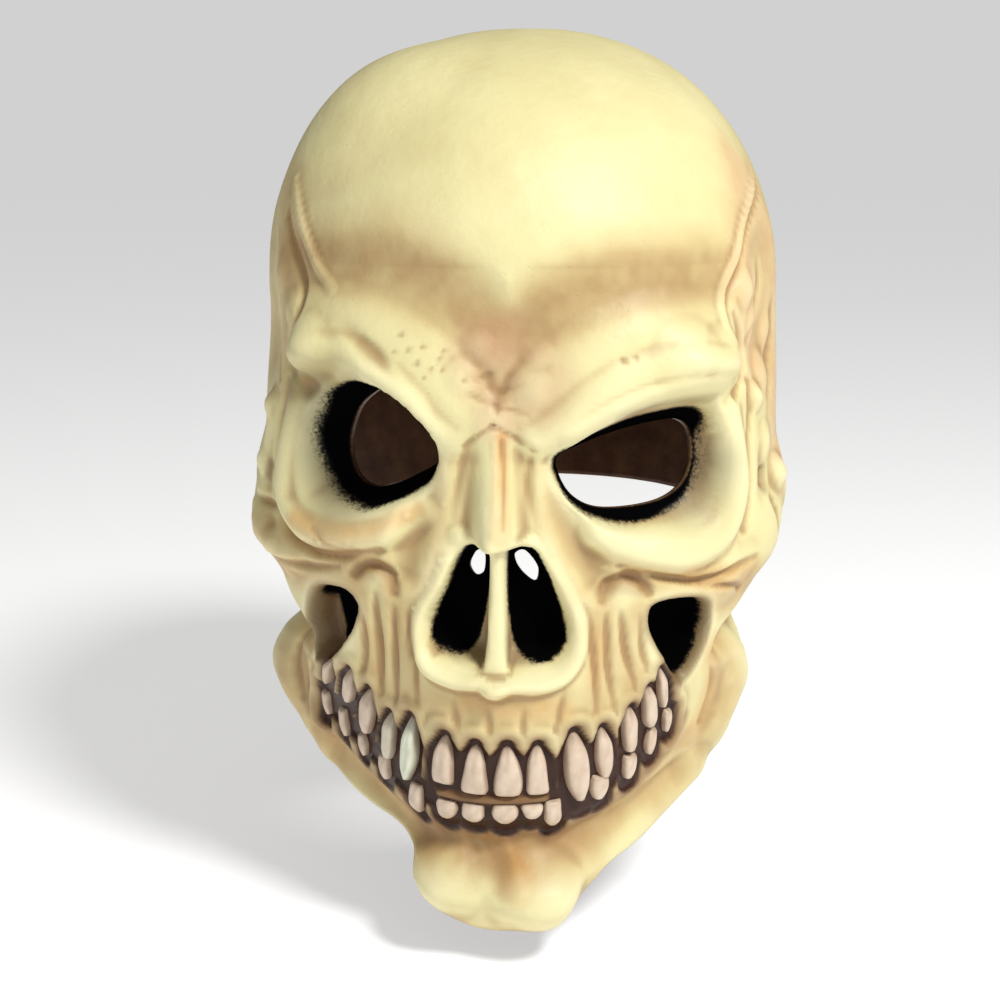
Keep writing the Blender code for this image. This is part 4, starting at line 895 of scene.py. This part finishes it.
    # skin of the casting: soft lumps, brush marks and pores
    lumps, grain, pores = noise(70, 3), noise(520, 4, 0.65), nodes.new("ShaderNodeTexVoronoi")
    pores.inputs["Scale"].default_value = 420
    links.new(place.outputs["Object"], pores.inputs["Vector"])
    pore_ramp = nodes.new("ShaderNodeValToRGB")
    pore_ramp.color_ramp.elements[0].position, pore_ramp.color_ramp.elements[1].position = 0.04, 0.13
    links.new(pores.outputs["Distance"], pore_ramp.inputs["Fac"])
    some = noise(45, 2)
    some_ramp = nodes.new("ShaderNodeValToRGB")
    some_ramp.color_ramp.elements[0].position, some_ramp.color_ramp.elements[1].position = 0.50, 0.60
    links.new(some.outputs["Fac"], some_ramp.inputs["Fac"])
    pitted = math_node("MULTIPLY", math_node("SUBTRACT", 1.0, pore_ramp.outputs["Color"]), some_ramp.outputs["Color"])
    height = math_node("ADD", math_node("MULTIPLY", lumps.outputs["Fac"], 1.1), math_node("MULTIPLY", grain.outputs["Fac"], 0.16))
    height = math_node("SUBTRACT", height, math_node("MULTIPLY", pitted, 0.22))
    bump = nodes.new("ShaderNodeBump")
    bump.inputs["Strength"].default_value = 0.55
    bump.inputs["Distance"].default_value = 0.0012
    links.new(height, bump.inputs["Height"])
    links.new(bump.outputs["Normal"], shader.inputs["Normal"])
    shine = math_node("SUBTRACT", 0.36, math_node("MULTIPLY", soot.outputs["Fac"], 0.34))
    shine = math_node("SUBTRACT", shine, math_node("MULTIPLY", gloss.outputs["Fac"], 0.16), clamp=True)
    links.new(shine, shader.inputs["Specular IOR Level"])
    return material


# ==== teeth
TOOTH_COLUMNS, TOOTH_ROWS = 15, 21
TOOTH_PINK = (0.845, 0.770, 0.690)
# colour of the stain and painted shade at the teeth's edges
TOOTH_SHADE_AND_STAIN = (0.55, 0.43, 0.34)
TOOTH_PALE = (0.86, 0.88, 0.80)


def tooth_width(kind, v):
    """Share of the tooth's half width at v, from root to tip."""
    arch = np.sqrt(np.clip(1 - (1 - np.clip(v / 0.42, 0, 1)) ** 2, 0, 1))
    if kind == "incisor":
        body = 0.62 + 0.38 * ease(v / 0.9)
        corner = 1 - 0.16 * ease((v - 0.9) / 0.1)
        return arch * body * corner
    if kind == "canine":
        return np.clip(np.sin(np.pi * np.clip(0.02 + v * 0.96, 0, 1)), 0, 1) ** 0.72 * (1 - 0.12 * v)
    if kind == "fang":
        return arch * (0.74 + 0.26 * np.sin(np.pi * v)) * np.sqrt(np.clip(1 - ((v - 0.72) / 0.30) ** 2 * (v > 0.72), 0, 1))
    foot = np.sqrt(np.clip(1 - (np.clip((v - 0.35) / 0.66, 0, 1)) ** 2.4, 0, 1))
    return foot * (0.88 + 0.12 * ease(v / 0.25))


def tooth_grids():
    """Points and faces of all teeth, with their stain and painted edge shade and the share of pale green."""
    points, faces, tooth_shade_and_stain, pale = [], [], [], []
    charts, rises = [], []
    u = np.linspace(-1, 1, TOOTH_COLUMNS)
    v = np.linspace(0, 1, TOOTH_ROWS)
    vv, uu = np.meshgrid(v, u, indexing="ij")
    for number, (root_at, root, tip_at, tip, half, kind) in enumerate(UPPER_TEETH + LOWER_TEETH):
        upper = number < len(UPPER_TEETH)
        ax, bx = root_at * CHART, tip_at * CHART
        axis = np.array([bx - ax, tip - root])
        length = np.linalg.norm(axis)
        axis /= length
        across = np.array([-axis[1], axis[0]])
        if across[0] < 0:
            across = -across
        lean = 0.10 * half * math.sin(number * 2.1)
        wide = half * 1.04 * tooth_width(kind, vv) * uu * (1 + 0.05 * np.sin(7 * vv + number * 2.3))
        curve = lean * np.sin(np.pi * vv)
        x = ax + axis[0] * length * vv + across[0] * (wide + curve)
        z = root + axis[1] * length * vv + across[1] * (wide + curve)
        charts.append(np.stack([x.ravel() / CHART, z.ravel()]))
        tall = 3.0 if upper else 2.4
        if kind == "canine":
            tall = 4.0
        dome = np.clip(1 - np.abs(uu) ** 3.4, 0, 1) ** 0.5
        along = ease(vv / 0.35) * 0.75 + 0.25
        if upper:
            along = along * (1 - 0.22 * ease((vv - 0.75) / 0.25))
        else:
            along = 0.75 + 0.25 * np.sin(np.pi * np.clip(vv, 0, 1))
        ripple = 0.10 * np.sin(uu * 7 + number) * np.sin(np.pi * vv)
        end = 0.35 + 0.65 * np.clip(np.minimum(vv / 0.06, (1 - vv) / 0.05), 0, 1) ** 0.6
        rise = -0.5 + (tall + 0.5) * dome * along * end + ripple * dome
        rises.append(rise.ravel())
        n, m = TOOTH_COLUMNS, TOOTH_ROWS
        start = 2 * n * m * number
        shift = n * m
        for i in range(m - 1):
            for j in range(n - 1):
                a, b, c, e = (i * n + j, (i + 1) * n + j, (i + 1) * n + j + 1, i * n + j + 1)
                faces.append((start + a, start + b, start + c, start + e))
                faces.append((start + shift + a, start + shift + e, start + shift + c, start + shift + b))
        loop = [j for j in range(n)] + [i * n + n - 1 for i in range(1, m)] + [(m - 1) * n + j for j in range(n - 2, -1, -1)] + [i * n for i in range(m - 2, 0, -1)]
        for a, b in zip(loop, loop[1:] + loop[:1]):
            faces.append((start + a, start + b, start + shift + b, start + shift + a))
        # stain with painted shade: darker on the steep flanks of each tooth, which paints the shade beside it, and
        # stained at the root and the tip
        edge_shade_and_stain = np.clip((np.abs(uu) - 0.72) / 0.28, 0, 1) * 0.75
        edge_shade_and_stain = np.maximum(edge_shade_and_stain, np.clip((0.22 - vv) / 0.22, 0, 1) * (0.8 if upper else 0.3))
        edge_shade_and_stain = np.maximum(edge_shade_and_stain, np.clip((vv - 0.93) / 0.07, 0, 1) * 0.5)
        edge_shade_and_stain = np.clip(edge_shade_and_stain + 0.12 * np.sin(uu * 5 + vv * 9 + number * 1.7), 0, 1)
        tooth_shade_and_stain.append(np.concatenate([edge_shade_and_stain.ravel(), np.ones(edge_shade_and_stain.size)]))
        pale.append(np.full(edge_shade_and_stain.size * 2, 1.0 if number == 4 else (0.45 if number in (3,) else 0.0)))
    d, z = np.concatenate(charts, axis=1)
    floor = relief(on_form(d, z), d, z, fine=False)
    size = TOOTH_COLUMNS * TOOTH_ROWS
    front = raised(d, z, floor + np.concatenate(rises)).reshape(-1, size, 3)
    back = raised(d, z, floor - 1.4).reshape(-1, size, 3)
    points = np.concatenate([front, back], axis=1).reshape(-1, 3)
    return points, faces, np.concatenate(tooth_shade_and_stain), np.concatenate(pale)


def teeth_object():
    points, faces, tooth_shade_and_stain, pale = tooth_grids()
    made = mesh_object("teeth", moved(points), faces)
    bm = bmesh.new()
    bm.from_mesh(made.data)
    bmesh.ops.recalc_face_normals(bm, faces=bm.faces)
    bm.to_mesh(made.data)
    bm.free()
    made.data.shade_smooth()
    for name, values in (("tooth_shade_and_stain", tooth_shade_and_stain), ("pale", pale)):
        attribute = made.data.attributes.new(name, "FLOAT", "POINT")
        attribute.data.foreach_set("value", values.astype(np.float32))
    material = bpy.data.materials.new("painted_teeth")
    material.use_nodes = True
    nodes, links = material.node_tree.nodes, material.node_tree.links
    shader = nodes["Principled BSDF"]
    place = nodes.new("ShaderNodeTexCoord")
    shade_and_stain_node, pale_one = nodes.new("ShaderNodeAttribute"), nodes.new("ShaderNodeAttribute")
    shade_and_stain_node.attribute_name, pale_one.attribute_name = "tooth_shade_and_stain", "pale"
    cloud = nodes.new("ShaderNodeTexNoise")
    cloud.inputs["Scale"].default_value, cloud.inputs["Detail"].default_value = 240, 5
    links.new(place.outputs["Object"], cloud.inputs["Vector"])

    def mix(kind, share, a, b):
        node = nodes.new("ShaderNodeMix")
        node.data_type, node.blend_type = "RGBA", kind
        for socket, value in ((node.inputs[0], share), (node.inputs[6], a), (node.inputs[7], b)):
            if isinstance(value, (int, float)):
                socket.default_value = value
            elif isinstance(value, tuple):
                socket.default_value = value + (1.0,)
            else:
                links.new(value, socket)
        return node.outputs[2]

    body = mix("MIX", pale_one.outputs["Fac"], tuple(linear(TOOTH_PINK)), tuple(linear(TOOTH_PALE)))
    ramp = nodes.new("ShaderNodeValToRGB")
    ramp.color_ramp.elements[0].position, ramp.color_ramp.elements[1].position = 0.35, 0.7
    ramp.color_ramp.elements[0].color = (0.82, 0.78, 0.72, 1)
    links.new(cloud.outputs["Fac"], ramp.inputs["Fac"])
    body = mix("MULTIPLY", 0.8, body, ramp.outputs["Color"])
    # stain and painted shade at the tooth's edges
    body = mix("MIX", shade_and_stain_node.outputs["Fac"], body, tuple(linear(TOOTH_SHADE_AND_STAIN)))
    links.new(body, shader.inputs["Base Color"])
    rough = nodes.new("ShaderNodeMapRange")
    rough.inputs["To Min"].default_value, rough.inputs["To Max"].default_value = 0.30, 0.50
    links.new(cloud.outputs["Fac"], rough.inputs["Value"])
    links.new(rough.outputs["Result"], shader.inputs["Roughness"])
    grain = nodes.new("ShaderNodeTexNoise")
    grain.inputs["Scale"].default_value, grain.inputs["Detail"].default_value = 700, 3
    links.new(place.outputs["Object"], grain.inputs["Vector"])
    bump = nodes.new("ShaderNodeBump")
    bump.inputs["Strength"].default_value, bump.inputs["Distance"].default_value = 0.35, 0.0004
    links.new(grain.outputs["Fac"], bump.inputs["Height"])
    links.new(bump.outputs["Normal"], shader.inputs["Normal"])
    made.data.materials.clear()
    made.data.materials.append(material)
    return made


# ==== stage
CAMERA_AZIMUTH, CAMERA_ELEVATION, CAMERA_DISTANCE = 6.0, 12.0, 0.650
CAMERA_AIM = (-0.009, 0.0, -0.046 - TOP_OF_HOLLOW * MM)
FOCAL_PIXELS = 1820.0


def add_camera():
    a, e = math.radians(CAMERA_AZIMUTH), math.radians(CAMERA_ELEVATION)
    back = Vector((math.sin(a) * math.cos(e), -math.cos(a) * math.cos(e), math.sin(e)))
    right = Vector((math.cos(a), math.sin(a), 0))
    up = back.cross(right)
    place = Vector(CAMERA_AIM) + back * CAMERA_DISTANCE
    data = bpy.data.cameras.new("camera")
    data.sensor_fit, data.sensor_width = "HORIZONTAL", 36.0
    data.lens = FOCAL_PIXELS / 1000 * 36.0
    data.clip_start = 0.01
    camera = bpy.data.objects.new("camera", data)
    camera.matrix_world = Matrix((
        (right.x, up.x, back.x, place.x),
        (right.y, up.y, back.y, place.y),
        (right.z, up.z, back.z, place.z),
        (0, 0, 0, 1),
    ))
    bpy.context.scene.collection.objects.link(camera)
    bpy.context.scene.camera = camera


def add_light(name, place, size, watts, colour, target=(0, 0, -0.15)):
    data = bpy.data.lights.new(name, "AREA")
    data.shape, data.size, data.energy, data.color = "DISK", size, watts, colour
    light = bpy.data.objects.new(name, data)
    light.location = place
    light.rotation_euler = (Vector(target) - Vector(place)).to_track_quat("-Z", "Y").to_euler()
    bpy.context.scene.collection.objects.link(light)


def add_stage(lowest):
    floor = mesh_object("floor", np.array([(-9, -9, lowest), (9, -9, lowest), (9, 9, lowest), (-9, 9, lowest)], float), [(0, 1, 2, 3)])
    material = bpy.data.materials.new("pale_floor")
    material.use_nodes = True
    shader = material.node_tree.nodes["Principled BSDF"]
    shader.inputs["Base Color"].default_value = (0.86, 0.86, 0.86, 1)
    shader.inputs["Emission Color"].default_value = (1, 1, 1, 1)
    shader.inputs["Emission Strength"].default_value = 0.48
    shader.inputs["Roughness"].default_value = 0.85
    shader.inputs["Specular IOR Level"].default_value = 0.1
    floor.data.materials.append(material)
    world = bpy.data.worlds.new("studio")
    world.use_nodes = True
    background = world.node_tree.nodes["Background"]
    rays = world.node_tree.nodes.new("ShaderNodeLightPath")
    strength = world.node_tree.nodes.new("ShaderNodeMapRange")
    strength.inputs["To Min"].default_value, strength.inputs["To Max"].default_value = 0.18, 0.638
    world.node_tree.links.new(rays.outputs["Is Camera Ray"], strength.inputs["Value"])
    world.node_tree.links.new(strength.outputs["Result"], background.inputs["Strength"])
    background.inputs["Color"].default_value = (1.0, 1.0, 1.0, 1)
    bpy.context.scene.world = world
    add_light("key", (0.60, -0.70, 0.78), 0.30, 16.8, (1.0, 0.995, 0.98))
    add_light("fill", (-1.0, -0.9, 0.1), 0.9, 1.6, (0.98, 0.98, 1.0))
    bpy.context.scene.view_settings.view_transform = "Standard"


# ==== build
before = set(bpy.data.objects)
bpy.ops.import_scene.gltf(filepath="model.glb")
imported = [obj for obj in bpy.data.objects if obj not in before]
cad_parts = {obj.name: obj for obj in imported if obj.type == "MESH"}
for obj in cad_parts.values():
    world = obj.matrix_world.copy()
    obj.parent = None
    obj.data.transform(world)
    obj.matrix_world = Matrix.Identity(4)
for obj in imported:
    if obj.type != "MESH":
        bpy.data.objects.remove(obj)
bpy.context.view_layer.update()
mask, first_in = shell_object()
grid_points = [tuple(v.co) for v in mask.data.vertices]
colours, glosses, soots = painted()
inner_count = len(grid_points) - len(colours)
all_colours = np.concatenate([colours, np.tile(np.array(RAW_LATEX), (inner_count, 1))])
all_gloss = np.concatenate([glosses, np.full(inner_count, 0.2)])
all_soot = np.concatenate([soots, np.zeros(inner_count)])
insides = np.concatenate([np.zeros(len(colours)), np.ones(inner_count)])
all_colours[len(colours)], insides[len(colours)] = BONE, 0.0
all_gloss[len(colours)] = 0.0
cut(mask, [
    prism("cut_eye_left", EYE_LEFT_HOLE, 26, 16),
    prism("cut_eye_right", EYE_RIGHT_HOLE, 26, 16),
    prism("cut_nostril_left", NOSTRIL_LEFT, 26, 16),
    prism("cut_nostril_right", NOSTRIL_RIGHT, 26, 16),
])
give_paint(mask, grid_points, all_colours, all_gloss, all_soot, insides)
mask.data.materials.clear()
mask.data.materials.append(latex_material())
mask.data.shade_smooth()
teeth = teeth_object()

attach(mask, "root")
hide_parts("mask_shell")
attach(teeth, "root")

lowest_point = min(v.co.z for v in mask.data.vertices)
add_stage(lowest_point - 0.012)
add_camera()
print("triangles", {o.name: sum(len(p.vertices) - 2 for p in o.data.polygons) for o in (mask, teeth)})
